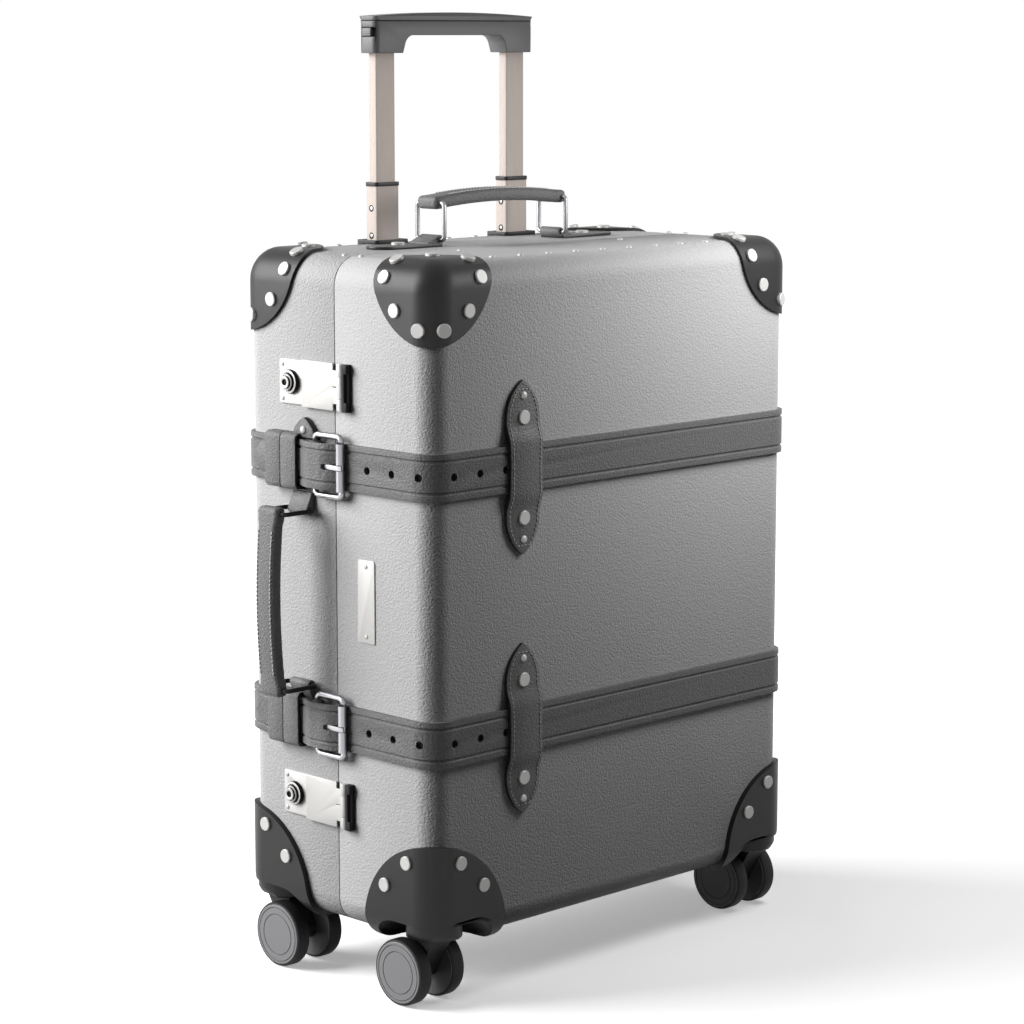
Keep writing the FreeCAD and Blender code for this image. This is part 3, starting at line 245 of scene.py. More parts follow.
# Nickel over blasted steel: pale, without clear reflections.
SATIN_PLATE = worn("satin_nickel_plate", "#bdbcba", roughness=0.48, metallic=0.3, grain=5, spread=0.04)
# Dark nickel: nearly black with a faint gloss.
BLACK_NICKEL = worn("black_nickel_plate", "#222224", roughness=0.46, metallic=0.1, grain=4, spread=0.05,
                    specular=0.15)
# Drawn and tumbled wire: a mid grey metal with blurred reflections.
SATIN_WIRE = worn("satin_steel_wire", "#97979a", roughness=0.36, metallic=1.0, grain=4, spread=0.05)
print("Last finish:", SATIN_WIRE.name)

# %% [markdown]
# ## Camera, light and floor
# The photograph is a product picture from the front left corner, from a little above, through a long
# lens. A big soft lamp stands on the left, a little behind the case, and lights the lock side. A small lamp
# hangs close to the upper right of the front, so that the front fades from bright to dark. The background is
# white to the camera and to reflections. For the light that falls on the case, world and floor are nearly
# black, so that the two lamps alone shape it, and the floor still takes the shadow.

# %% Camera
CAMERA_PLACE, CAMERA_DOWN, CAMERA_TURN = (-1650.4, -1644.5, 707.1), 9.0, -44.88
LENS, SENSOR = 106.3, 36
camera = bpy.data.objects.new("camera", bpy.data.cameras.new("camera"))
bpy.context.scene.collection.objects.link(camera)
camera.location = Vector(CAMERA_PLACE) * MM
camera.rotation_euler = (math.radians(90 - CAMERA_DOWN), 0, math.radians(CAMERA_TURN))
camera.data.lens = LENS
camera.data.sensor_width = SENSOR
bpy.context.scene.camera = camera
bpy.context.scene.view_settings.view_transform = "Standard"
print("Camera:", LENS, "mm lens")

# %% Lamps


def soft_lamp(name, spot, aim, size, watts):
    """A square area lamp at a spot, turned to face its aim, both in millimetres."""
    lamp = bpy.data.objects.new(name, bpy.data.lights.new(name, "AREA"))
    bpy.context.scene.collection.objects.link(lamp)
    lamp.data.size = size * MM
    lamp.data.energy = watts
    lamp.location = Vector(spot) * MM
    lamp.rotation_euler = (Vector(aim) - Vector(spot)).to_track_quat("-Z", "Y").to_euler()
    lamp.visible_camera = False
    return lamp


MIDDLE = (0, 0, 300)
lamps = [soft_lamp("left_back_key", (-1650, 1500, 1350), MIDDLE, size=1800, watts=118),
         soft_lamp("near_top_right", (230, -330, 640), (90, -100, 260), size=280, watts=1.9)]
print("Lamps:", ", ".join(lamp.name for lamp in lamps))

# %% World and floor
WORLD_LIGHT, DIM_FLOOR = 0.02, "#303030"
FLOOR_WIDE, FLOOR_DROP = 12000, 0.4
GLOW_NEAR, GLOW_FAR, GLOW_LEAST = 250, 1100, 0.35


def white_to_eye(tree, lit, plain):
    """Mix two shaders: lit for light that falls on things, plain for the eye and for reflections."""
    path = add_node(tree, "ShaderNodeLightPath")
    seen = path.outputs["Is Camera Ray"]
    for ray in ("Is Glossy Ray", "Is Transmission Ray"):
        either = add_node(tree, "ShaderNodeMath", {0: seen, 1: path.outputs[ray]}, operation="MAXIMUM")
        seen = either.outputs[0]
    return add_node(tree, "ShaderNodeMixShader", {0: seen, 1: lit, 2: plain}).outputs[0]


world = bpy.data.worlds.new("studio")
bpy.context.scene.world = world
world.use_nodes = True
sky = world.node_tree
room = sky.nodes["Background"]
room.inputs["Color"].default_value = linear("#ffffff")
room.inputs["Strength"].default_value = WORLD_LIGHT
backdrop = add_node(sky, "ShaderNodeBackground", {"Color": linear("#ffffff"), "Strength": 1.0})
sky.links.new(white_to_eye(sky, room.outputs[0], backdrop.outputs[0]),
              sky.nodes["World Output"].inputs["Surface"])

bpy.ops.object.select_all(action="DESELECT")
bpy.ops.mesh.primitive_plane_add(size=FLOOR_WIDE * MM, location=(0, 0, -FLOOR_DROP * MM))
floor = bpy.context.object
floor.name = "studio_floor"
floor_paint, paint, shader, place = start_finish("white_floor", "#fafafa", 0.9, specular=0.1)
away = add_node(paint, "ShaderNodeVectorMath", {0: place}, operation="LENGTH").outputs["Value"]
fade = add_node(paint, "ShaderNodeMapRange", {"Value": away, "From Min": GLOW_NEAR * MM,
                                              "From Max": GLOW_FAR * MM, "To Min": GLOW_LEAST})
glow = add_node(paint, "ShaderNodeEmission", {"Strength": fade.outputs["Result"]})
bright = add_node(paint, "ShaderNodeAddShader", {0: shader.outputs[0], 1: glow.outputs[0]})
dim = add_node(paint, "ShaderNodeBsdfDiffuse", {"Color": linear(DIM_FLOOR)})
paint.links.new(white_to_eye(paint, dim.outputs[0], bright.outputs[0]),
                paint.nodes["Material Output"].inputs["Surface"])
floor.data.materials.append(floor_paint)
print("Floor:", FLOOR_WIDE, "mm wide")

# %% [markdown]
# ## First coat
# Every CAD node takes the finish of its record slot. The pieces that are modelled below hide their node
# and stand for it, and what remains, such as hinge leaves and caster forks, keeps this coat.

# %% Paint the CAD nodes
for part in frame["record"]["subparts"]:
    solid = frame["nodes"][part["node"]]
    solid.data.materials.clear()
    solid.data.materials.append(FINISH[part["material_slot"]])

# %% [markdown]
# ## Modelling by hand, in code
# A piece starts as a primitive at its real size and place, or as an outline that is drawn by pulling one
# vertex from point to point. Operators in edit mode then shape it, and modifiers finish it. All lengths
# below are millimetres, and the helpers turn them into metres.

# %% Modelling helpers


def start_fresh():
    """Leave nothing selected, so that an operator acts on the new piece alone."""
    bpy.ops.object.select_all(action="DESELECT")


def make_active(piece):
    """Select one piece alone, for the next operator."""
    start_fresh()
    piece.select_set(True)
    bpy.context.view_layer.objects.active = piece


def settle(name):
    """Name the new piece and put its place, turn and scale into its mesh."""
    piece = bpy.context.object
    piece.name = name
    piece.data.name = name
    bpy.ops.object.transform_apply(location=True, rotation=True, scale=True)
    return piece


def add_block(name, low, high):
    """A block between two opposite corners."""
    start_fresh()
    middle = (Vector(low) + Vector(high)) / 2 * MM
    bpy.ops.mesh.primitive_cube_add(size=1, location=middle)
    bpy.context.object.scale = (Vector(high) - Vector(low)) * MM
    return settle(name)


def add_rod(name, radius, start, end, sides=48):
    """A round rod from one point to another."""
    start_fresh()
    start, end = Vector(start) * MM, Vector(end) * MM
    bpy.ops.mesh.primitive_cylinder_add(vertices=sides, radius=radius * MM, depth=(end - start).length,
                                        location=(start + end) / 2,
                                        rotation=(end - start).to_track_quat("Z", "Y").to_euler())
    return settle(name)


def pick(piece, kind, test):
    """Enter edit mode with the vertices, edges or faces selected whose corner points pass the test."""
    make_active(piece)
    bpy.ops.object.mode_set(mode="EDIT")
    bpy.ops.mesh.select_mode(type=kind)
    bpy.ops.mesh.select_all(action="DESELECT")
    bpy.ops.object.mode_set(mode="OBJECT")
    mesh = piece.data
    points = [vertex.co / MM for vertex in mesh.vertices]
    if kind == "VERT":
        for vertex, point in zip(mesh.vertices, points):
            vertex.select = test([point])
    else:
        for item in mesh.edges if kind == "EDGE" else mesh.polygons:
            item.select = test([points[corner] for corner in item.vertices])
    bpy.ops.object.mode_set(mode="EDIT")


def leave_edit():
    """Go back to object mode, which writes the edit into the mesh."""
    bpy.ops.object.mode_set(mode="OBJECT")


def face_outwards(piece):
    """Merge doubles and turn every face of a closed piece outwards."""
    make_active(piece)
    bpy.ops.object.mode_set(mode="EDIT")
    bpy.ops.mesh.select_all(action="SELECT")
    bpy.ops.mesh.remove_doubles(threshold=0.004 * MM)
    bpy.ops.mesh.normals_make_consistent(inside=False)
    leave_edit()
    return piece


def modify(piece, kind, **settings):
    """Add one modifier, set it and apply it."""
    make_active(piece)
    modifier = piece.modifiers.new(kind.title(), kind)
    for key, value in settings.items():
        setattr(modifier, key, value)
    bpy.ops.object.modifier_apply(modifier=modifier.name)
    return piece


def soften(piece, width, segments=3, angle=40):
    """Round all edges that are sharper than an angle."""
    return modify(piece, "BEVEL", width=width * MM, segments=segments, limit_method="ANGLE",
                  angle_limit=math.radians(angle))


def combine(piece, tool, operation="DIFFERENCE"):
    """Cut, join or intersect a piece with a tool, which is then thrown away."""
    modify(piece, "BOOLEAN", operation=operation, solver="EXACT", object=tool)
    bpy.data.objects.remove(tool)
    return piece


def join(name, pieces):
    """Make several pieces one object, without merging their meshes."""
    make_active(pieces[0])
    for other in pieces[1:]:
        other.select_set(True)
    bpy.ops.object.join()
    pieces[0].name = name
    pieces[0].data.name = name
    return pieces[0]


def twin(piece, name, across):
    """A copy with its own mesh, mirrored where across is -1."""
    make_active(piece)
    bpy.ops.object.duplicate()
    bpy.context.object.scale = across
    copy = settle(name)
    return face_outwards(copy) if math.prod(across) < 0 else copy


def trace(name, points):
    """Draw a line by pulling one vertex from point to point, and stay in edit mode."""
    start_fresh()
    bpy.ops.mesh.primitive_plane_add(size=MM)
    piece = settle(name)
    bpy.ops.object.mode_set(mode="EDIT")
    bpy.ops.mesh.select_mode(type="VERT")
    bpy.ops.mesh.select_all(action="SELECT")
    bpy.ops.mesh.merge(type="CENTER")
    bpy.ops.transform.translate(value=Vector(points[0]) * MM)
    here = Vector(points[0])
    for point in points[1:]:
        step = (Vector(point) - here) * MM
        bpy.ops.mesh.extrude_vertices_move(TRANSFORM_OT_translate={"value": step})
        here = Vector(point)
    bpy.ops.mesh.select_all(action="SELECT")
    return piece


def cut_out(name, points, push):
    """A flat outline, filled and pushed out to a thickness."""
    piece = trace(name, points)
    bpy.ops.mesh.edge_face_add()
    bpy.ops.mesh.extrude_region_move(TRANSFORM_OT_translate={"value": Vector(push) * MM})
    leave_edit()
    return face_outwards(piece)


def turned(name, profile, foot, axis, steps=64):
    """A turned piece: profile points as (radius, distance along the axis from foot), spun full circle."""
    along = Vector(axis)
    out = along.orthogonal().normalized()
    piece = trace(name, [Vector(foot) + out * radius + along * far for radius, far in profile])
    bpy.ops.mesh.spin(steps=steps, angle=math.tau, center=Vector(foot) * MM, axis=along)
    leave_edit()
    return face_outwards(piece)


def round_path(corners, radius, steps=6, closed=True):
    """Points along a path whose corners are rounded off by arcs."""
    path = []
    count = len(corners)
    for index in range(count):
        corner = Vector(corners[index])
        if not closed and index in (0, count - 1):
            path.append(corner)
            continue
        legs = [(Vector(corners[(index + way) % count]) - corner).normalized() for way in (-1, 1)]
        half = legs[0].angle(legs[1]) / 2
        centre = corner + (legs[0] + legs[1]).normalized() * radius / math.sin(half)
        start, end = ((corner + leg * radius / math.tan(half) - centre).normalized() for leg in legs)
        path += [centre + start.slerp(end, step / steps).normalized() * radius for step in range(steps + 1)]
    return path


def bent_wire(name, points, radius):
    """A closed loop of round wire along a path."""
    piece = trace(name, points)
    leave_edit()
    pick(piece, "VERT", lambda spot: min((spot[0] - Vector(points[end])).length for end in (0, -1)) < 0.01)
    bpy.ops.mesh.edge_face_add()
    leave_edit()
    bpy.ops.object.convert(target="CURVE")
    bpy.context.object.data.bevel_depth = radius * MM
    bpy.context.object.data.bevel_resolution = 5
    bpy.ops.object.convert(target="MESH")
    return face_outwards(bpy.context.object)


def slice_across(piece, axis, places):
    """Slice a piece across an axis at several places, so that it can bend there."""
    normal = [1 if axis == index else 0 for index in range(3)]
    for place in places:
        pick(piece, "FACE", lambda spots: True)
        bpy.ops.mesh.bisect(plane_co=Vector(normal) * place * MM, plane_no=normal)
        leave_edit()


def shift_rows(piece, axis, shift):
    """Move each row of vertices across an axis by a shift that depends on its place."""
    for row in sorted({round(vertex.co[axis] / MM, 2) for vertex in piece.data.vertices}):
        step = Vector(shift(row))
        if step.length > 0.01:
            pick(piece, "VERT", lambda spot: abs(spot[0][axis] - row) < 0.01)
            bpy.ops.transform.translate(value=step * MM)
            leave_edit()


# Edges flatter than this many degrees are shaded as one surface.
SMOOTH_UNDER = 38


def dress(piece, body, slot, nodes=(), finish=None):
    """Smooth-shade a piece, give it its finish, hang it on its body and hide the CAD nodes it stands for."""
    make_active(piece)
    bpy.ops.object.shade_smooth_by_angle(angle=math.radians(SMOOTH_UNDER))
    piece.data.materials.clear()
    piece.data.materials.append(finish or FINISH[slot])
    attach(piece, body)
    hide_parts(*nodes)
    return piece


# %% [markdown]
# ## The two shells
# Each half of the case is a tray: a block with its four standing edges and its face edges rounded, open at
# the seam. Bevels in edit mode give the rounding, the seam face is deleted, and Solidify gives the wall
# its thickness inwards. The wheel wells and the post holes are cut with Booleans.

# %% Shells
SIDE, DEPTH, LOW, HIGH = 195, 102, 46.5, 547
SIDE_ROUND, EDGE_ROUND, WALL, SEAM = 22, 18, 3, 0.5
SWIVEL, WELL_TOP = (SIDE - 18.5, DEPTH - 18.5), LOW + 17
HALVES = (("lid", -1), ("base", 1))


def rounded_block(name, grow, low_y, high_y, round_both=True):
    """The case's own block with rounded edges, grown outwards all round and reaching between two depths."""
    block = add_block(name, (-SIDE - grow, low_y, LOW - grow), (SIDE + grow, high_y, HIGH + grow))
    pick(block, "EDGE", lambda ends: abs(ends[0].y - ends[1].y) > 1)
    bpy.ops.mesh.bevel(offset=(SIDE_ROUND + grow) * MM, segments=10, affect="EDGES")
    leave_edit()
    faces = (low_y, high_y) if round_both else (low_y if low_y < 0 else high_y,)
    pick(block, "EDGE", lambda ends: any(abs(end.y - face) < 0.01 for face in faces for end in ends[:1])
         and abs(ends[0].y - ends[1].y) < 0.01)
    bpy.ops.mesh.bevel(offset=(EDGE_ROUND + grow) * MM, segments=9, affect="EDGES")
    leave_edit()
    return block


def tray(name, inset, thickness, start, sign):
    """An open half of the case, from a depth near the seam to its outer face."""
    far = DEPTH - inset
    piece = rounded_block(name, -inset, *sorted((start * sign, far * sign)), round_both=False)
    pick(piece, "FACE", lambda ends: all(abs(end.y - start * sign) < 0.01 for end in ends))
    bpy.ops.mesh.delete(type="FACE")
    leave_edit()
    return modify(piece, "SOLIDIFY", thickness=thickness * MM, offset=-1)


def cut_wells(piece, sign, radius, top):
    """Cut the round rooms of two casters into one half, from the floor up to a height."""
    for x_sign in (-1, 1):
        spot = (SWIVEL[0] * x_sign, SWIVEL[1] * sign)
        combine(piece, add_rod("well_cutter", radius, (*spot, 0), (*spot, top)))


SHELL_WELL, CLOTH_WELL = 47, 49
POST_X, POST_Y = 70, 84
HOLE_HALF, HOLE_DEEP = 14, 8.6
for half, sign in HALVES:
    shell = tray(f"{half}_shell_board", 0, WALL, SEAM, sign)
    cut_wells(shell, sign, SHELL_WELL, WELL_TOP + 1)
    if half == "base":
        for x_sign in (-1, 1):
            middle = POST_X * x_sign
            combine(shell, add_block("post_cutter", (middle - HOLE_HALF, POST_Y - HOLE_DEEP, HIGH - 30),
                                     (middle + HOLE_HALF, POST_Y + HOLE_DEEP, HIGH + 10)))
    soften(shell, 0.6, 2, 60)
    dress(shell, half, "grained_shell", [f"{half}_shell"])
    print(shell.name, len(shell.data.polygons), "faces")

# %% [markdown]
# ## Lining, packing floor and rim
# Inside, the walls are covered with glued cloth, and a cloth-covered board closes off the trolley tubes.
# The cloth is a thinner tray just inside the shell, and the board is a plate with soft edges. A black rim on
# the base bridges the seam inside, so that no light shows through. It is a rounded block with a smaller one
# cut out of it.

# %% Lining and packing floor
CLOTH, BOARD_FACE, BOARD_BACK, BOARD_HALF = 1.2, 72, 74.5, 190


def round_long_edges(block, radius, segments):
    """Round the four edges of a block that run from front to back."""
    pick(block, "EDGE", lambda ends: abs(ends[0].y - ends[1].y) > 1)
    bpy.ops.mesh.bevel(offset=radius * MM, segments=segments, affect="EDGES")
    leave_edit()


lid_cloth = tray("lid_lining_cloth", inset=3.3, thickness=CLOTH, start=12.4, sign=-1)
cut_wells(lid_cloth, -1, CLOTH_WELL, WELL_TOP + 3)
dress(lid_cloth, "lid", "lining_cloth", ["lid_lining"])
base_cloth = tray("base_lining_cloth", inset=3.4, thickness=CLOTH, start=14.3, sign=1)
combine(base_cloth, add_block("depth_cutter", (-SIDE, BOARD_FACE - 0.3, 0), (SIDE, DEPTH + 20, HIGH + 20)))
cut_wells(base_cloth, 1, CLOTH_WELL, WELL_TOP + 3)
dress(base_cloth, "base", "lining_cloth", ["base_lining"])
board = add_block("packing_floor_board", (-BOARD_HALF, BOARD_FACE, LOW + 5),
                  (BOARD_HALF, BOARD_BACK, HIGH - 5))
round_long_edges(board, radius=17, segments=8)
cut_wells(board, 1, CLOTH_WELL, WELL_TOP + 3)
soften(board, 0.8, 2)
dress(board, "base", "panel_board", ["base_floor_panel"])
print("Lining pieces: 3")

# %% Rim inside the seam
RIM_GAP, RIM_WALL = 3.4, 2


def rim_block(name, gap, low_y, high_y):
    """A block at a gap inside the shell's outside, with its long edges rounded to match."""
    block = add_block(name, (-SIDE + gap, low_y, LOW + gap), (SIDE - gap, high_y, HIGH - gap))
    round_long_edges(block, SIDE_ROUND - gap, 10)
    return block


rim = rim_block("seam_rim", RIM_GAP, low_y=-12, high_y=14)
combine(rim, rim_block("rim_hollow", RIM_GAP + RIM_WALL, low_y=-20, high_y=20))
dress(soften(rim, 0.5, 2, 60), "base", "trim_black", ["base_rim"])
print("Rim faces:", len(rim.data.polygons))

# %% [markdown]
# ## Riveted corners
# A corner cap is pressed from sheet to fit over three faces, and its rim is one round line. The cap is
# therefore the case's own block, grown by the sheet's thickness, kept only inside a ball about the corner,
# and hollowed by the block itself. One cap is made and mirrored to the other three corners.

# %% Corner caps
CORNERS = [(f"{along}_{across}", x_sign, y_sign) for along, y_sign in (("front", -1), ("back", 1))
           for across, x_sign in (("left", -1), ("right", 1))]


def add_ball(name, centre, radius):
    """A ball that is fine enough to cut a smooth rim."""
    start_fresh()
    bpy.ops.mesh.primitive_uv_sphere_add(segments=96, ring_count=64, radius=radius * MM,
                                         location=Vector(centre) * MM)
    return settle(name)


def corner_cap(name, sheet, reach, z):
    """A sheet over the front left corner at a height, inside a ball about the corner."""
    cap = rounded_block(name, sheet, -DEPTH - sheet, DEPTH + sheet)
    combine(cap, add_ball("cap_reach", (-SIDE, -DEPTH, z), reach), "INTERSECT")
    combine(cap, rounded_block("cap_hollow", 0, -DEPTH, DEPTH))
    return soften(cap, 0.8, 2, 55)


def holder(y_sign):
    """The body that carries what lies on this side of the seam."""
    return "lid" if y_sign < 0 else "base"


def four_corners(piece, slot, node_tail):
    """Mirror a front left piece to all four corners and dress them."""
    stem = piece.name
    for corner, x_sign, y_sign in CORNERS:
        made = twin(piece, f"{stem}_{corner}", (-x_sign, -y_sign, 1))
        body = holder(y_sign)
        dress(made, body, slot, [f"{body}_{node_tail}"])
    bpy.data.objects.remove(piece)


TOP_SHEET, TOP_REACH = 2.5, 60
four_corners(corner_cap("top_corner_cap", TOP_SHEET, TOP_REACH, HIGH), "corner_black", "top_corners")
print("Top corner caps:", len(CORNERS))

# %% [markdown]
# ## Wheel wells
# Each caster swings under a dome that is moulded into the wheel corner, with a drum in its middle that
# holds the swivel bearing. The drum is a cup that is open below, so that the fork's head can turn in it.
# Dome and drum are turned pieces, so one profile is spun about the swivel. The part of it that would stand
# out of the case is trimmed with the corner's own block.

# %% Domes and swivel drums
WHEEL_SHEET, WHEEL_REACH, WHEEL_BALL = 4.5, 70, LOW + 8
WELL_RADIUS, WELL_ROUND, WELL_WALL = 46, 16, 2.5
DRUM_RADIUS, DRUM_FOOT, CUP_RADIUS, CUP_TOP, STEM_BORE = 20.8, 52, 18.2, 61.5, 5.05


def dome_line(grow, foot):
    """The well's outline from its rim up to its crown, as (radius, height)."""
    bend = WELL_RADIUS - WELL_ROUND
    turns = [math.radians(90 * step / 8) for step in range(9)]
    arc = [(bend + (WELL_ROUND + grow) * math.cos(turn),
            WELL_TOP - WELL_ROUND + (WELL_ROUND + grow) * math.sin(turn)) for turn in turns]
    return [(WELL_RADIUS + grow, foot), *arc]


LEFT_SWIVEL = (-SWIVEL[0], -SWIVEL[1], 0)
well_room = [*dome_line(0, 0), (0, WELL_TOP), (0, 0), (WELL_RADIUS, 0)]
hollow = turned("well_hollow", well_room, LEFT_SWIVEL, (0, 0, 1))
wheel_cap = corner_cap("wheel_corner_cap", WHEEL_SHEET, WHEEL_REACH, WHEEL_BALL)
combine(wheel_cap, hollow)
four_corners(soften(wheel_cap, 0.5, 2, 60), "corner_black", "wheel_corners")

skirt = LOW - 6
ring = [*dome_line(WELL_WALL, skirt), (STEM_BORE, WELL_TOP + WELL_WALL), (STEM_BORE, CUP_TOP),
        (CUP_RADIUS, CUP_TOP), (CUP_RADIUS, DRUM_FOOT), (DRUM_RADIUS - 0.8, DRUM_FOOT),
        (DRUM_RADIUS, DRUM_FOOT + 0.8), (DRUM_RADIUS, WELL_TOP),
        *dome_line(0, skirt)[::-1], (WELL_RADIUS + WELL_WALL, skirt)]
well = turned("swivel_well", ring, LEFT_SWIVEL, (0, 0, 1))
combine(well, rounded_block("corner_form", WHEEL_SHEET - 0.2, -DEPTH - WHEEL_SHEET, DEPTH + WHEEL_SHEET),
        "INTERSECT")
four_corners(well, "corner_black", "wheel_corners")
print("Wheel corner caps and wells:", len(CORNERS))

# %% [markdown]
# ## Rivets
# Flat nickel rivets hold the corner caps and the loops, and small domed ones run along the top. A head is
# turned once, standing on the origin, and copied to every place. On a rounded edge a rivet stands square to
# the skin: the distance of a point from the rounded block is a short formula, and its slope is the way out.

# %% Seats on the skin
NUDGES = [Vector(nudge) for nudge in ((0.1, 0, 0), (0, 0.1, 0), (0, 0, 0.1))]
SEAT_STEPS = 6


def skin_distance(point, grow):
    """How far a point lies outside the case's block, grown by a sheet."""
    across = abs(point.x) - (SIDE - SIDE_ROUND)
    up = abs(point.z - (LOW + HIGH) / 2) - ((HIGH - LOW) / 2 - SIDE_ROUND)
    wall = math.hypot(max(across, 0), max(up, 0)) + min(max(across, up), 0) - SIDE_ROUND + EDGE_ROUND
    through = abs(point.y) - (DEPTH - EDGE_ROUND)
    return math.hypot(max(wall, 0), max(through, 0)) + min(max(wall, through), 0) - EDGE_ROUND - grow


def seat(spot, grow):
    """The place on the grown skin that is nearest to a spot, and the way straight out of it."""
    point = Vector(spot)
    for step in range(SEAT_STEPS):
        slope = Vector([skin_distance(point + nudge, grow) - skin_distance(point - nudge, grow)
                        for nudge in NUDGES])
        point = point - slope.normalized() * skin_distance(point, grow)
    return point, slope.normalized()


def plant(master, spot, out):
    """A copy of a master that stands on the origin along Z, set on a spot and turned to point out."""
    make_active(master)
    bpy.ops.object.duplicate()
    bpy.context.object.rotation_euler = Vector(out).to_track_quat("Z", "Y").to_euler()
    bpy.context.object.location = Vector(spot) * MM
    return settle(master.name + "_copy")


# %% Rivet heads
RIVET_CHAMFER, FLAT_SUNK, DOME_SUNK = 0.5, -1, -0.6


def flat_head(name, radius, height):
    """A flat rivet with a chamfered rim, sunk a little so that it meets a curved skin."""
    profile = [(0, height), (radius - RIVET_CHAMFER, height), (radius, height - RIVET_CHAMFER),
               (radius, FLAT_SUNK), (0, FLAT_SUNK)]
    return turned(name, profile, (0, 0, 0), (0, 0, 1), 32)


def dome_head(name, radius, height):
    """A small domed rivet, sunk like the flat one."""
    turns = [math.radians(90 - 15 * step) for step in range(7)]
    profile = [(radius * math.cos(turn), height * math.sin(turn)) for turn in turns]
    return turned(name, [*profile, (radius, DOME_SUNK), (0, DOME_SUNK)], (0, 0, 0), (0, 0, 1), 24)


big = flat_head("flat_rivet", radius=5.3, height=1.9)
small = dome_head("small_rivet", radius=3, height=1.9)
stud = dome_head("top_stud", radius=2.4, height=1.5)
pin = dome_head("plate_pin", radius=1.8, height=0.9)
print("Rivet heads: 4 kinds")

# %% Rivets in their places
STRAP_HEIGHTS = {"upper": 394.5, "lower": 199.8}
LOOP_X, LOOP_THICK, LOOP_BIG, LOOP_SMALL = -105.4, 3, 37, 53
PLATE_Y, PLATE_Z, PLATE_THICK, PLATE_PIN = -33, 297.15, 0.9, 26
HANDLE_Y, HANDLE_SPAN, TAB_THICK, TAB_RIVET = 34, 132, 2.5, 34
TOP_ARC, TOP_ANGLES = 49, (14, 45, 76)
WHEEL_ARC, WHEEL_ANGLES, WHEEL_ARC_Z = 55, (32, 65), LOW + 14
STUD_STEP, STUD_Y, STUDS_EACH_WAY, BACK_STUDS = 29, 83.5, 4, (0, 1, 4)
SEAM_STUD_X, SEAM_STUD_Y, MIDDLE_STUD_Y = 176, 9, -20


def arc_spots(arc, angles):
    """Places along an arc about a corner, as (away from the edge, towards the middle)."""
    return [(arc * math.cos(math.radians(angle)), arc * math.sin(math.radians(angle))) for angle in angles]


seats = []
for corner, x_sign, y_sign in CORNERS:
    near_x, near_y = SIDE * x_sign, DEPTH * y_sign
    for away, inward in arc_spots(TOP_ARC, TOP_ANGLES):
        for spot in ((near_x, near_y - away * y_sign, HIGH - inward),
                     (near_x - away * x_sign, near_y, HIGH - inward),
                     (near_x - away * x_sign, near_y - inward * y_sign, HIGH)):
            seats.append((big, *seat(spot, TOP_SHEET)))
    for away, inward in arc_spots(WHEEL_ARC, WHEEL_ANGLES):
        for spot in ((near_x, near_y - away * y_sign, WHEEL_ARC_Z + inward),
                     (near_x - away * x_sign, near_y, WHEEL_ARC_Z + inward)):
            seats.append((big, *seat(spot, WHEEL_SHEET)))
    seats.append((stud, *seat((SEAM_STUD_X * x_sign, SEAM_STUD_Y * y_sign, HIGH), 0)))
for y_sign in (-1, 1):
    for height in STRAP_HEIGHTS.values():
        for up in (-1, 1):
            for head, reach in ((big, LOOP_BIG), (small, LOOP_SMALL)):
                spot = (LOOP_X, (DEPTH + LOOP_THICK) * y_sign, height + reach * up)
                seats.append((head, spot, (0, y_sign, 0)))
for step in range(-STUDS_EACH_WAY, STUDS_EACH_WAY + 1):
    seats.append((stud, *seat((STUD_STEP * step, -STUD_Y, HIGH), 0)))
    if abs(step) in BACK_STUDS:
        seats.append((stud, *seat((STUD_STEP * step, STUD_Y, HIGH), 0)))
for sign in (-1, 1):
    seats.append((stud, *seat((STUD_STEP * 3 * sign, MIDDLE_STUD_Y, HIGH), 0)))
    seats.append((big, ((HANDLE_SPAN / 2 + TAB_RIVET) * sign, HANDLE_Y, HIGH + TAB_THICK), (0, 0, 1)))
    seats.append((pin, (-SIDE - PLATE_THICK, PLATE_Y, PLATE_Z + PLATE_PIN * sign), (-1, 0, 0)))
for body, y_sign in HALVES:
    heads = [plant(master, spot, out) for master, spot, out in seats if spot[1] * y_sign > 0]
    dress(join(f"{body}_rivet_heads", heads), body, "nickel", [f"{body}_rivets"], SATIN_PLATE)
    print(body, "rivets:", len(heads))
for master in (big, stud):
    bpy.data.objects.remove(master)

# %% [markdown]
# ## Casters
# A caster has two wheels on one axle. The wheel is a moulded grey disc with two turned grooves, and a thin
# tread of black rubber is pressed on its rim. Both are turned about the axle, once for every wheel, because
# each rolls by itself. Their profiles give a radius and a distance along the axle from the caster's middle.

# %% Wheels
WHEEL_RADIUS, HUB_RADIUS, AXLE_BORE, TRAIL = 25, 23.2, 3.05, 15.6
NEAR, FAR, GROOVES = 10.4, 22.4, (20.5, 15.5)
TREAD = [(HUB_RADIUS, NEAR + 0.3), (24.4, NEAR + 0.7), (WHEEL_RADIUS, NEAR + 2.2), (WHEEL_RADIUS, FAR - 2.2),
         (24.4, FAR - 0.7), (HUB_RADIUS, FAR - 0.3), (HUB_RADIUS, NEAR + 0.3)]
DISC = [(AXLE_BORE, NEAR), (HUB_RADIUS - 0.5, NEAR), (HUB_RADIUS, NEAR + 0.5), (HUB_RADIUS, FAR - 0.5),
        (HUB_RADIUS - 0.5, FAR)]
for groove in GROOVES:
    DISC += [(groove + 0.7, FAR), (groove + 0.6, FAR - 0.7), (groove + 0.1, FAR - 0.7), (groove, FAR)]
DISC += [(0, FAR), (0, FAR - 3), (AXLE_BORE, FAR - 3), (AXLE_BORE, NEAR)]
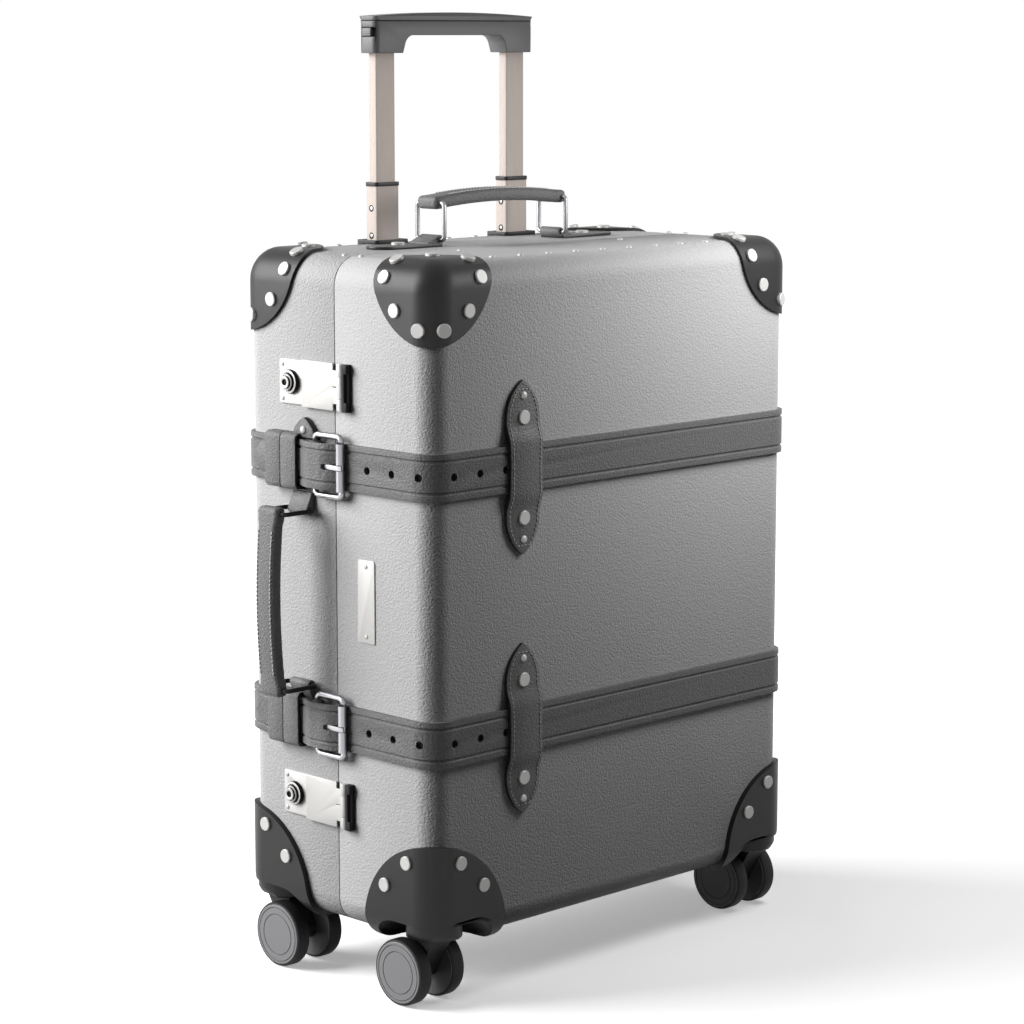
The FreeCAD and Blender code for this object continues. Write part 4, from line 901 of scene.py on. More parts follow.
for corner, x_sign, y_sign in CORNERS:
    axle = (SWIVEL[0] * x_sign, (SWIVEL[1] - TRAIL) * y_sign, WHEEL_RADIUS)
    for rank, outward in (("outer", x_sign), ("inner", -x_sign)):
        body = f"wheel_{corner}_{rank}"
        way = (outward, 0, 0)
        dress(turned(f"{body}_tread", TREAD, axle, way), body, "wheel_rubber", [body])
        dress(turned(f"{body}_disc", DISC, axle, way), body, "wheel_rubber", [body], HUB_GREY)
print("Wheels: 8 treads on 8 discs")

# %% [markdown]
# ## Leather straps
# Two straps go round the case. Each is drawn as the narrow plan of its band, filled, and pulled up in rows,
# so that the rows near its edges can be pressed in to make the two creased lines. The lid's stretch has
# punched holes, and the base's stretch ends in a roll round the buckle's bar.

# %% Straps
STRAP_HALF, STRAP_THICK = 17, 3.6
CREASE, STRAP_CREASE = (10.2, 11.2, 12, 13), 1.1
ROWS = (-STRAP_HALF, *(-row for row in CREASE[::-1]), *CREASE, STRAP_HALF)
BAR_X, BAR_Y, BAR_BORE, ROLL_RADIUS, ROLL_SLOT = -200.7, 16, 1.8, 3.8, 2.9
PUNCH, SIDE_PUNCHES, FRONT_PUNCHES = 3, (38, 64, 90), (-176, -150, -124)


def band(name, plan, height, rows):
    """A flat plan, filled and pulled up row by row about a height."""
    piece = trace(name, [(x, y, height + rows[0]) for x, y in plan])
    bpy.ops.mesh.edge_face_add()
    for low, high in zip(rows, rows[1:]):
        bpy.ops.mesh.extrude_region_move(TRANSFORM_OT_translate={"value": (0, 0, (high - low) * MM)})
    leave_edit()
    return face_outwards(piece)


def press_rows(piece, height, depth, outside):
    """Press the crease rows of a band into its outer face."""
    pick(piece, "VERT", lambda spot: outside(spot[0])
         and any(abs(abs(spot[0].z - height) - row) < 0.01 for row in CREASE[1:3]))
    bpy.ops.transform.shrink_fatten(value=-depth * MM)
    leave_edit()
    return piece


def round_case(low_y, high_y, grow):
    """Plan points round three sides of the case, from the left to the right."""
    far = (DEPTH + grow) * (-1 if low_y < 0 else 1)
    right = SIDE + grow
    corners = [(-right, low_y, 0), (-right, far, 0), (right, far, 0), (right, high_y, 0)]
    return [point.to_2d() for point in round_path(corners, EDGE_ROUND + grow, 8, closed=False)]


def off_the_case(point):
    """Whether a point of the strap lies on its outer face."""
    return skin_distance(point, 0) > STRAP_THICK / 2


def strap_band(name, left_y, right_y, height):
    """One half's stretch of a strap, from the left round to the right, with its creases."""
    plan = round_case(left_y, right_y, STRAP_THICK) + round_case(left_y, right_y, 0)[::-1]
    return press_rows(band(name, plan, height, ROWS), height, STRAP_CREASE, off_the_case)


hole_shades = []
for rank, height in STRAP_HEIGHTS.items():
    strap = strap_band(f"{rank}_lid_strap", -SEAM, -SEAM, height)
    punches = [(-SIDE, -y, height) for y in SIDE_PUNCHES] + [(x, -DEPTH, height) for x in FRONT_PUNCHES]
    for foot in punches:
        spot, out = seat(foot, 0)
        combine(strap, add_rod("punch", PUNCH, spot - out, spot + out * 6, 24))
        # Painted shade: a black disc inside each punched hole, so that the hole reads dark.
        hole_shades.append(add_rod("hole_shade", PUNCH + 0.1, spot - out, spot + out * 0.8, 24))
    dress(soften(strap, 1.3, 3, 62), "lid", "strap_leather", ["lid_straps"])
    strap = strap_band(f"{rank}_base_strap", BAR_Y, SEAM, height)
    rolls = [strap]
    for sign in (-1, 1):
        near, far = ROLL_SLOT * sign, STRAP_HALF * sign
        roll = [(BAR_BORE, near), (ROLL_RADIUS, near), (ROLL_RADIUS, far), (BAR_BORE, far), (BAR_BORE, near)]
        rolls.append(turned("strap_roll", roll, (BAR_X, BAR_Y, height), (0, 0, 1), 40))
    strap = soften(join(f"{rank}_base_strap", rolls), 1.1, 3, 62)
    dress(strap, "base", "strap_leather", ["base_straps"])
# The black discs in the holes are painted shade.
dress(join("strap_hole_bottoms", hole_shades), "lid", "strap_leather", [], SHADOW_BLACK)
print("Straps: 4, punched holes:", len(punches) * len(STRAP_HEIGHTS))

# %% [markdown]
# ## Black edges and stitches
# Cut leather edges are painted black, so the narrow faces of a leather piece take a second finish. A seam
# is a row of short threads: one stitch is repeated along a line by an Array and bent onto it by a Curve
# modifier.

# %% Edge paint and stitches
# Painted on and rubbed: black with a soft gloss.
EDGE_PAINT = worn("black_edge_paint", "#141415", roughness=0.42, metallic=0.0, grain=2, spread=0.05)
STITCH_SHARE = 0.66


def paint_faces(piece, finish, test):
    """Give the faces that pass a test a second finish."""
    piece.data.materials.append(finish)
    for face in piece.data.polygons:
        if test(face):
            face.material_index = len(piece.data.materials) - 1
    return piece


def paint_edges(piece, out, limit=0.55, finish=EDGE_PAINT):
    """Give sideways faces, square to the way out, cut-edge paint or another finish, such as painted shade.
    """
    return paint_faces(piece, finish, lambda face: abs(face.normal.dot(Vector(out))) < limit)


def stitches(name, path, pitch=3.6, thick=0.9):
    """Threads of waxed linen along a path, each two thirds of the pitch long."""
    line = trace(name + "_line", path)
    leave_edit()
    bpy.ops.object.convert(target="CURVE")
    line = bpy.context.object
    thread = add_block(name, (0, -thick / 2, -thick / 2), (pitch * STITCH_SHARE, thick / 2, thick / 2))
    soften(thread, 0.3, 2)
    modify(thread, "ARRAY", use_relative_offset=False, use_constant_offset=True, fit_type="FIT_CURVE",
           curve=line, constant_offset_displace=(pitch * MM, 0, 0))
    modify(thread, "CURVE", object=line, deform_axis="POS_X")
    bpy.data.objects.remove(line)
    return thread


# %% [markdown]
# ## Strap ends and keepers
# The free end of a strap comes from under the buckle's far bar, rises over the near bar, and lies in two
# leather keepers. It is a band like the strap, drawn in plan along that way and trimmed to a pointed tip.
# The prong stands in its hole, which is open to the front, so that the prong can swing out. A keeper is a
# flat loop: an outline with round corners, pushed along the strap.

# %% Strap ends
TAIL_THICK, TAIL_START, TAIL_END, TAIL_SHOULDER = 2.8, -9.2, 86, 72
TAIL_WAY = [(TAIL_START, 3.9), (-5.8, 6.3), (-1, 8.8), (5, 9.9), (19, 9.9), (33, 3.9), (TAIL_END, 3.9)]
TAIL_BEND, TAIL_CREASE, CLEAR = 15, 1, 20
PRONG_HOLE, PRONG_ROOM = 0.6, 2.2


def tail_line(grow):
    """Plan points along the strap end, at a distance outside its inner face."""
    corners = [(-SIDE - lift - grow, y, 0) for y, lift in TAIL_WAY]
    return [point.to_2d() for point in round_path(corners, TAIL_BEND + grow / 2, 5, closed=False)]


for rank, height in STRAP_HEIGHTS.items():
    outer = tail_line(TAIL_THICK)
    tail = band(f"{rank}_strap_end", outer + tail_line(0)[::-1], height, ROWS)
    press_rows(tail, height, TAIL_CREASE,
               lambda point: any((point.to_2d() - spot).length < 0.01 for spot in outer))
    tip = [(TAIL_START - 1, -STRAP_HALF), (TAIL_SHOULDER, -STRAP_HALF), (TAIL_END, 0),
           (TAIL_SHOULDER, STRAP_HALF), (TAIL_START - 1, STRAP_HALF)]
    tip_form = cut_out("tip_form", [(-SIDE - CLEAR, y, height + z) for y, z in tip], (CLEAR, 0, 0))
    combine(tail, tip_form, "INTERSECT")
    hole_ends = [(-SIDE - reach, PRONG_HOLE, height) for reach in (0, CLEAR)]
    combine(tail, add_rod("prong_hole", PRONG_ROOM, *hole_ends))
    combine(tail, add_block("prong_slot", (-SIDE - CLEAR, TAIL_START - 5, height - PRONG_ROOM),
                            (-SIDE, PRONG_HOLE, height + PRONG_ROOM)))
    dress(soften(tail, 0.5, 2, 62), "base", "strap_leather", ["strap_tails"])
print("Strap ends:", len(STRAP_HEIGHTS))

# %% Keepers
KEEPER_HALF, KEEPER_LIFT, KEEPER_WALL, KEEPER_BAND = 21, 11, 2.4, 16.9
KEEPER_STARTS = (33, 50.4)


def keeper_line(inset, bend):
    """The keeper's outline across the strap, at an inset from its outside."""
    half = KEEPER_HALF - inset
    lift = KEEPER_LIFT - inset
    corners = [(-SIDE, 0, -half), (-SIDE - lift, 0, -half), (-SIDE - lift, 0, half), (-SIDE, 0, half)]
    return round_path(corners, bend, 5, closed=False)


for rank, height in STRAP_HEIGHTS.items():
    for number, start in enumerate(KEEPER_STARTS):
        outline = keeper_line(inset=0, bend=4.5) + keeper_line(inset=KEEPER_WALL, bend=2.5)[::-1]
        spots = [point + Vector((0, start, height)) for point in outline]
        keeper = cut_out(f"{rank}_keeper_{number + 1}", spots, (0, KEEPER_BAND, 0))
        dress(soften(keeper, 0.6, 2, 50), "base", "strap_leather", ["strap_keepers"])
        if number == 0:
            paint_faces(keeper, EDGE_PAINT, lambda face: face.normal.y < -0.5)
print("Keepers:", len(STRAP_HEIGHTS) * len(KEEPER_STARTS))

# %% [markdown]
# ## Buckles
# A buckle is a closed frame of thick wire with round corners, and a flat prong that is hooked round the
# frame's near bar. The wire follows a rounded path. Both of its bars are squeezed slimmer, so that leather
# fits round them, and two roller sleeves on the far bar let the strap run. The prong is cut out of a bar and
# rounded off.

# %% Buckles
WIRE, FRAME_WIRE, FRAME_LONG, FRAME_HALF, BAR_HALF = 1.75, 2.3, 29, 22.25, 18.6
ROLLER, ROLLER_BORE, ROLLER_LIFT, ROLLER_NEAR, ROLLER_FAR = 3.3, 3.12, 1.35, 2.2, 17.6
PRONG_THICK, PRONG_EYE = 3.4, 3.4
PRONG_ARM = [(0, 0), (-2.05, -25.5), (-2.05, -31.3), (-2.9, -32.5), (-3.9, -32.3), (-4.65, -31),
             (-4.65, -25.5), (-2.6, 0)]
for rank, height in STRAP_HEIGHTS.items():
    far_bar = BAR_Y - FRAME_LONG
    corners = [(BAR_X, BAR_Y, height - FRAME_HALF), (BAR_X, far_bar, height - FRAME_HALF),
               (BAR_X, far_bar, height + FRAME_HALF), (BAR_X, BAR_Y, height + FRAME_HALF)]
    wire = bent_wire(f"{rank}_buckle_wire", round_path(corners, 4), FRAME_WIRE)
    slim = WIRE / FRAME_WIRE
    for bar in (BAR_Y, far_bar):
        pick(wire, "VERT", lambda spot: abs(spot[0].y - bar) < FRAME_WIRE + 0.1
             and abs(spot[0].z - height) < BAR_HALF)
        bpy.ops.transform.resize(value=(slim, slim, 1), center_override=Vector((BAR_X, bar, height)) * MM)
        leave_edit()
    rollers = []
    for low, high in ((-ROLLER_FAR, -ROLLER_NEAR), (ROLLER_NEAR, ROLLER_FAR)):
        sleeve = [(ROLLER_BORE, low), (ROLLER, low), (ROLLER, high), (ROLLER_BORE, high), (ROLLER_BORE, low)]
        rollers.append(turned("roller", sleeve, (BAR_X - ROLLER_LIFT, far_bar, height), (0, 0, 1), 32))
    wire = join(f"{rank}_buckle_wire", [wire, *rollers])
    dress(wire, f"{rank}_buckle_frame", "nickel", [f"{rank}_buckle_frame"], SATIN_WIRE)
    foot = height - PRONG_THICK / 2
    arm = [(BAR_X + x, BAR_Y + y, foot) for x, y in PRONG_ARM]
    prong = cut_out(f"{rank}_prong_bar", arm, (0, 0, PRONG_THICK))
    eye_ends = [(BAR_X, BAR_Y, foot + up) for up in (0, PRONG_THICK)]
    combine(prong, add_rod("prong_eye", PRONG_EYE, *eye_ends), "UNION")
    combine(prong, add_rod("eye_bore", BAR_BORE, (BAR_X, BAR_Y, foot - 1), (BAR_X, BAR_Y, foot + 5)))
    dress(soften(prong, 0.7, 3, 40), f"{rank}_buckle_prong", "nickel", [f"{rank}_buckle_prong"], SATIN_WIRE)
print("Buckles:", len(STRAP_HEIGHTS))

# %% [markdown]
# ## Riveted loops
# A leaf of leather stands over each strap on the front and the back. Its outline is four arcs, with points
# at the ends and a slight waist. It is cut out flat, sliced across, and the slices over the strap are
# lifted. A thread runs round it near the black edge.

# %% Loops
LOOP_HALF, LOOP_WIDE, LOOP_WAIST, SHOULDER = 64.5, 17, 16.2, 35.5
LIFT_FULL, LIFT_FOOT, LIFT = 17.6, 34, 3.9
LEAF_CUTS = (12, 17.6, 20, 22.5, 25, 27.5, 30, 32.5)
SEAM_INSET, SEAM_HALF, SEAM_LIFT = 2.6, 57.5, 0.1


def leaf_width(up):
    """Half the leaf's width at a height from its middle."""
    away = abs(up)
    if away > SHOULDER:
        rise = LOOP_HALF - SHOULDER
        bend = (LOOP_WIDE ** 2 + rise ** 2) / (2 * LOOP_WIDE)
        return LOOP_WIDE - bend + math.sqrt(bend ** 2 - (away - SHOULDER) ** 2)
    return LOOP_WAIST + (LOOP_WIDE - LOOP_WAIST) * (1 - math.cos(math.pi * away / SHOULDER)) / 2


def leaf_lift(up):
    """How far the leaf is raised over the strap."""
    share = min(max((LIFT_FOOT - abs(up)) / (LIFT_FOOT - LIFT_FULL), 0), 1)
    return LIFT * share * share * (3 - 2 * share)


ups = [LOOP_HALF * math.sin(math.radians(90 * step / 16)) for step in range(-16, 17)]
for rank, height in STRAP_HEIGHTS.items():
    rim = [(LOOP_X + leaf_width(up), -DEPTH, height + up) for up in ups]
    rim += [(LOOP_X - leaf_width(up), -DEPTH, height + up) for up in ups[-2:0:-1]]
    leaf = cut_out(f"{rank}_front_loop", rim, (0, -LOOP_THICK, 0))
    slice_across(leaf, 2, [height + cut * sign for cut in LEAF_CUTS for sign in (-1, 1)])
    shift_rows(leaf, 2, lambda row: (0, -leaf_lift(row - height), 0))
    soften(leaf, 0.7, 2, 50)
    seam = []
    for side_sign in (1, -1):
        for step in range(-14, 15):
            up = side_sign * SEAM_HALF * math.sin(math.radians(90 * step / 14))
            across = LOOP_X + side_sign * (leaf_width(up) - SEAM_INSET)
            seam.append((across, -DEPTH - LOOP_THICK - leaf_lift(up) - SEAM_LIFT, height + up))
    thread = stitches(f"{rank}_front_loop_thread", [*seam, seam[0]])
    for piece, finish, out in ((leaf, None, (0, 1, 0)), (thread, THREAD, None)):
        back = twin(piece, piece.name.replace("front", "back"), (1, -1, 1))
        for made, body, node in ((piece, "lid", "lid_loops"), (back, "base", "back_loops")):
            dress(made, body, "strap_leather", [node], finish)
            if out:
                paint_edges(made, out, 0.85)
print("Loops: 4, faces on the last thread:", len(back.data.polygons))

# %% [markdown]
# ## Locks
# A lock has a plate with a collar on the base and a hasp that is hinged to a dark block on the lid. The
# button inside the collar is pressed to let go of the hasp. Collar and button are turned, the flat pieces
# are cut out and their edges rounded. Black blocks under the gaps beside the knuckle are painted shade, and
# so is the flat black in the keyhole, in the block's recess and on the side walls of collar and button.

# %% Lock plates and buttons
LOCK_HEIGHTS = {"upper": 452.5, "lower": 140}
LOCK_END, LOCK_HALF, LOCK_THICK, LOCK_PIN_Y, LOCK_PIN_UP = 60, 16.5, 1.5, 56.6, 12.8
COLLAR_Y, KEY_RADIUS, KEY_BORE = 47, 6.3, 6.6
COLLAR = [(KEY_BORE, 0.2), (9, 0.2), (9, 4.2), (8.7, 4.8), (8.1, 5), (7.2, 5), (KEY_BORE, 4.5),
          (KEY_BORE, 0.2)]
KEY = [(0, 6.6), (2.5, 6.6), (2.5, 8.3), (2.8, 8.5), (4.3, 8.5), (4.7, 8.1), (4.7, 6.5), (5.3, 6.5),
       (5.5, 6.9), (6, 6.9), (KEY_RADIUS, 6.5), (KEY_RADIUS, 1.7), (0, 1.7)]
KEYHOLE = [(0, 7.4), (2, 7.4), (2.4, 7), (2.4, 6.7), (0, 6.7)]


def on_side(name, low_y, high_y, height, half, bend, foot, top):
    """A plate with round corners on the left side, between two heights above the case."""
    corners = [(-SIDE - foot, y, z) for y, z in ((low_y, height - half), (high_y, height - half),
                                                 (high_y, height + half), (low_y, height + half))]
    return cut_out(name, round_path(corners, bend, 4), (foot - top, 0, 0))


plates = []
collars = []
for rank, height in LOCK_HEIGHTS.items():
    key_foot = (-SIDE, COLLAR_Y, height)
    plate = on_side("lock_plate", SEAM, LOCK_END, height, LOCK_HALF, bend=1.2, foot=0, top=LOCK_THICK)
    bore_ends = [(-SIDE + reach, COLLAR_Y, height) for reach in (5, -5)]
    combine(plate, add_rod("key_bore", KEY_BORE, *bore_ends))
    plates.append(soften(plate, 0.35, 2))
    collars.append(turned("lock_collar", COLLAR, key_foot, (-1, 0, 0)))
    for sign in (-1, 1):
        pin_spot = (-SIDE - LOCK_THICK, LOCK_PIN_Y, height + LOCK_PIN_UP * sign)
        plates.append(plant(pin, pin_spot, (-1, 0, 0)))
    button = f"{rank}_lock_button"
    made = dress(turned(f"{button}_key", KEY, key_foot, (-1, 0, 0)), button, "nickel", [button], SATIN_PLATE)
    # Painted shade: the side walls of the button's steps are black, so that they read as in shadow.
    paint_edges(made, (1, 0, 0), 0.5, SHADOW_BLACK)
    # Painted shade: a black disc in the button's middle recess, so that the keyhole reads deep.
    eye = turned(f"{button}_keyhole", KEYHOLE, key_foot, (-1, 0, 0), 24)
    dress(eye, button, "nickel", [], SHADOW_BLACK)
dress(join("lock_plate_pair", plates), "base", "nickel", ["lock_plates"], SATIN_PLATE)
made = dress(join("lock_collar_pair", collars), "base", "nickel", ["lock_plates"], SATIN_PLATE)
# Painted shade: the collar's side walls are black, as if in shadow, while its front rings stay bright.
paint_edges(made, (1, 0, 0), 0.5, SHADOW_BLACK)
print("Lock plates:", len(LOCK_HEIGHTS))

# %% Hasps and their blocks
HASP_HALF, KNUCKLE, AXIS_X, AXIS_Y = 17.4, 2.6, -SIDE - 3, -10
KNUCKLE_HALF, KNUCKLE_GAP, WEB_END = 8, 8.3, -6.8
FLAP_NEAR, FLAP_FAR, FLAP_FOOT, FLAP_TOP, FLAP_BEND = -7, 33, 1.8, 3.6, 0.8
GAP_NEAR, GAP_FAR, GAP_START, SLIT_HALF = -5.2, -1.4, 12.3, 0.35
# Where the black block of painted shade stands under the hasp's gaps.
SHADE_NEAR, SHADE_FAR, SHADE_FOOT, SHADE_TOP, SHADE_HALF = -5.6, -1, 1.85, 2.3, 16.9
BLOCK_LIFT, BLOCK_FRONT, BLOCK_BACK, RECESS_Y, RECESS_HALF = 5.5, -18, -12.9, -15.4, 10.5
blocks = []
knuckles = []
for rank, height in LOCK_HEIGHTS.items():
    hasp = f"{rank}_hasp"
    flap = on_side(f"{hasp}_flap", FLAP_NEAR, FLAP_FAR, height, HASP_HALF, FLAP_BEND, FLAP_FOOT, FLAP_TOP)
    for low, high in ((-HASP_HALF - 1, -GAP_START), (-SLIT_HALF, SLIT_HALF), (GAP_START, HASP_HALF + 1)):
        combine(flap, add_block("gap", (-SIDE - 9, GAP_NEAR, height + low), (-SIDE, GAP_FAR, height + high)))
    axis_low, axis_high = ((AXIS_X, AXIS_Y, height + KNUCKLE_HALF * sign) for sign in (-1, 1))
    barrel = add_rod("knuckle", KNUCKLE, axis_low, axis_high)
    web = add_block("web", (-SIDE - FLAP_TOP, AXIS_Y, height - KNUCKLE_HALF),
                    (-SIDE - FLAP_FOOT, WEB_END, height + KNUCKLE_HALF))
    combine(barrel, web, "UNION")
    flap = join(f"{hasp}_flap", [soften(flap, 0.35, 2), soften(barrel, 0.2, 2)])
    dress(flap, hasp, "nickel", [hasp], SATIN_PLATE)
    # Painted shade: a black block under the hasp's gaps, so that they read dark and deep.
    shade_block = add_block(f"{hasp}_gap_backing", (-SIDE - SHADE_TOP, SHADE_NEAR, height - SHADE_HALF),
                        (-SIDE - SHADE_FOOT, SHADE_FAR, height + SHADE_HALF))
    dress(soften(shade_block, 0.15, 2), hasp, "nickel", [], SHADOW_BLACK)
    block = add_block("hasp_block", (-SIDE - BLOCK_LIFT, BLOCK_FRONT, height - HASP_HALF),
                      (-SIDE, BLOCK_BACK, height + HASP_HALF))
    combine(block, add_block("recess", (-SIDE - 7, BLOCK_FRONT - 2, height - RECESS_HALF),
                             (-SIDE - 3, RECESS_Y, height + RECESS_HALF)))
    blocks.append(soften(block, 0.4, 2))
    for sign in (-1, 1):
        near, far = (height + reach * sign for reach in (KNUCKLE_GAP, HASP_HALF))
        side_knuckle = add_rod("side_knuckle", KNUCKLE, (AXIS_X, AXIS_Y, near), (AXIS_X, AXIS_Y, far))
        knuckles.append(soften(side_knuckle, 0.2, 2))
        knuckles.append(add_block("side_web", (AXIS_X, BLOCK_BACK, min(near, far)),
                                  (-SIDE, AXIS_Y, max(near, far))))
made = dress(join("hasp_block_pair", blocks), "lid", "gunmetal", ["hasp_hinge_blocks"], BLACK_NICKEL)
# Painted shade: the walls and floor of the block's recess are black, so that it reads deep.
paint_faces(made, SHADOW_BLACK, lambda face: abs(face.normal.z) < 0.5
            and BLOCK_FRONT + 0.3 < face.center.y / MM < RECESS_Y + 0.2
            and face.center.x / MM > -SIDE - BLOCK_LIFT + 0.3)
dress(join("hasp_side_knuckles", knuckles), "lid", "nickel", ["hasp_hinge_blocks"], SATIN_PLATE)
print("Hasps:", len(LOCK_HEIGHTS))

# %% Name plate
PLATE_HALF_WIDE, PLATE_HALF_HIGH, PLATE_ROUND = 9, 30.85, 1.8
name_plate = on_side("bare_name_plate", PLATE_Y - PLATE_HALF_WIDE, PLATE_Y + PLATE_HALF_WIDE, PLATE_Z,
                     PLATE_HALF_HIGH, PLATE_ROUND, 0, PLATE_THICK)
dress(soften(name_plate, 0.25, 2), "lid", "nickel", ["nameplate"], SATIN_PLATE)
print("Name plate faces:", len(name_plate.data.polygons))

# %% [markdown]
# ## Carrying handles
# A handle is a padded leather grip between two wire rings, and each ring is held by a tab that is rolled
# round it and riveted to the case. All pieces are modelled once, lying along X with the case at height
# zero, and copies are set on the top and, turned on end, on the left side.

# %% Handle pieces
HANDLES = {"top": ((0, 0, 0), (0, 0, HIGH)), "side": ((0, math.radians(-90), 0), (-SIDE, 0, 293))}
BAR_LIFT, RING_REACH, RING_HALF, GRIP_THICK, ARCH = 5, 28, 14.75, 10, 4
TAB_HALF, TAB_LONG, ROLL_HALF, ROLL_FLAP = 13, 62, 10.5, 13
BORE_REACH, BORE_GAP = 40, 0.05
END = HANDLE_SPAN / 2


def arch(along):
    """How far the grip rises at a place along it."""
    return ARCH * max(1 - (along / END) ** 2, 0)


def fit_handle(master, name, place, body, slot, nodes, finish=None):
    """Copy a handle piece to the top or to the side."""
    turn, spot = HANDLES[place]
    make_active(master)
    bpy.ops.object.duplicate()
    bpy.context.object.rotation_euler = turn
    bpy.context.object.location = Vector(spot) * MM
    return dress(settle(name), body, slot, nodes, finish)


tab_rim = [(END, -TAB_HALF), (END + TAB_LONG - TAB_HALF, -TAB_HALF)]
tab_rim += [(END + TAB_LONG - TAB_HALF + TAB_HALF * math.sin(math.radians(turn)),
             -TAB_HALF * math.cos(math.radians(turn))) for turn in range(15, 180, 15)]
tab_rim += [(END + TAB_LONG - TAB_HALF, TAB_HALF), (END, TAB_HALF)]
tab = cut_out("handle_tab", [(x, HANDLE_Y + y, 0) for x, y in tab_rim], (0, 0, TAB_THICK))
soften(tab, 0.6, 2, 60)
turns = [math.radians(95 + 190 * step / 14) for step in range(15)]
roll_rim = [(END + ROLL_RADIUS * math.cos(turn), BAR_LIFT + ROLL_RADIUS * math.sin(turn)) for turn in turns]
roll_rim += [(END + ROLL_FLAP, 1), (END + ROLL_FLAP, TAB_THICK + 0.6)]
roll = cut_out("tab_roll", [(x, HANDLE_Y - ROLL_HALF, z) for x, z in roll_rim], (0, ROLL_HALF * 2, 0))
bar_ends = [(END, HANDLE_Y + sign * BORE_REACH, BAR_LIFT) for sign in (-1, 1)]
combine(roll, add_rod("bar_bore", BAR_BORE + BORE_GAP, *bar_ends))
soften(roll, 0.5, 2, 50)
GRIP_OUT = BAR_LIFT + RING_REACH
ring_corners = [(END, HANDLE_Y - RING_HALF, BAR_LIFT), (END, HANDLE_Y + RING_HALF, BAR_LIFT),
                (END, HANDLE_Y + RING_HALF, GRIP_OUT), (END, HANDLE_Y - RING_HALF, GRIP_OUT)]
ring = bent_wire("handle_ring", round_path(ring_corners, 3), WIRE)
print("Handle pieces:", tab.name, roll.name, ring.name)

# %% Grip
THREAD_Y, THREAD_END, THREAD_STEP = 7.4, 54, 6
HALF_PLAN = [(-71, 11), (-61, 11), (-57, 9.8), (57, 9.8), (61, 11), (71, 11)]
GRIP_SLICES = range(-64, 65, 8)
plan = [(x, HANDLE_Y + y) for x, y in HALF_PLAN] + [(x, HANDLE_Y - y) for x, y in HALF_PLAN[::-1]]
grip = cut_out("handle_grip", [(x, y, GRIP_OUT - GRIP_THICK / 2) for x, y in plan], (0, 0, GRIP_THICK))
slice_across(grip, 0, GRIP_SLICES)
shift_rows(grip, 0, lambda row: (0, 0, arch(row)))
soften(grip, 3.4, 4, 50)
for sign in (-1, 1):
    bar_ends = [(END * sign, HANDLE_Y + way * BORE_REACH, GRIP_OUT) for way in (-1, 1)]
    combine(grip, add_rod("ring_bore", BAR_BORE + BORE_GAP, *bar_ends))
threads = []
for sign in (-1, 1):
    line = [(along, HANDLE_Y + THREAD_Y * sign, GRIP_OUT + GRIP_THICK / 2 + arch(along))
            for along in range(-THREAD_END, THREAD_END + 1, THREAD_STEP)]
    threads.append(stitches("grip_thread", line, pitch=3.2, thick=1))
grip_threads = join("grip_thread_pair", threads)
print("Grip faces:", len(grip.data.polygons))

# %% Set the handles on the case
mirrored = {-1: [twin(piece, piece.name + "_left", (-1, 1, 1)) for piece in (tab, roll, ring)],
            1: [tab, roll, ring]}
sets = (("top", ("left", "right"), SATIN_WIRE), ("side", ("lower", "upper"), BLACK_NICKEL))
for place, ends, ring_finish in sets:
    for sign, end in zip((-1, 1), ends):
        flat, rolled, wire = mirrored[sign]
        body = f"{place}_handle_ring_{end}"
        fit_handle(wire, f"{body}_wire", place, body, "nickel", [body], ring_finish)
        fit_handle(rolled, f"{place}_{end}_tab_roll", place, "base", "strap_leather", ["handle_tabs"])
        if place == "top":
            made = fit_handle(flat, f"{place}_{end}_tab", place, "base", "strap_leather", ["handle_tabs"])
            paint_edges(made, (0, 0, 1))
    body = f"{place}_handle_grip"
    fit_handle(grip, f"{body}_leather", place, body, "strap_leather", [body])
    fit_handle(grip_threads, f"{body}_thread", place, body, "strap_leather", [], THREAD)
print("Handles:", len(sets))

# %% Tip of the side handle's upper tab
TIP_THICK, TIP_Y, TIP_LOW = 5, HANDLE_Y - 4, STRAP_HEIGHTS["upper"] + STRAP_HALF + 0.4
TIP_RIVET = 6.5
TIP_RIM = [(-14, 0), (14, 0), (9.7, 8.5), (4.3, 13.8), (0, 16), (-4.3, 13.8), (-9.7, 8.5)]
tip = cut_out("side_tab_tip", [(-SIDE, TIP_Y + y, TIP_LOW + z) for y, z in TIP_RIM], (-TIP_THICK, 0, 0))
dress(soften(tip, 1.1, 2, 50), "base", "strap_leather", ["handle_tabs"])
paint_edges(tip, (1, 0, 0), 0.95)
tip_rivet = plant(small, (-SIDE - TIP_THICK, TIP_Y, TIP_LOW + TIP_RIVET), (-1, 0, 0))
tip_rivet.name = "side_tab_rivet"
dress(tip_rivet, "base", "nickel", ["base_rivets"], SATIN_PLATE)
for master in (*mirrored[-1], *mirrored[1], grip, grip_threads, small, pin):
    bpy.data.objects.remove(master)
print("Tab tip faces:", len(tip.data.polygons))

# %% [markdown]
# ## Trolley
# The trolley's posts are anodised tubes that slide in each other, with a dark collar where the inner tube
# comes out and two spring pins in the middle one. The moulded grip has two legs, a hollow under the hand,
# a cap with a knurled crown above a parting line, and a press button in each end.

# %% Posts and collars
MIDDLE_WIDE, MIDDLE_TOP, MIDDLE_BORE, COLLAR_HIGH = 23.4, 591, (20.2, 9.4), 3


def post_block(name, half_wide, half_deep, low, high, sign):
    """A block about a post's middle line, on the left or on the right."""
    return add_block(name, (POST_X * sign - half_wide, POST_Y - half_deep, low),
                     (POST_X * sign + half_wide, POST_Y + half_deep, high))


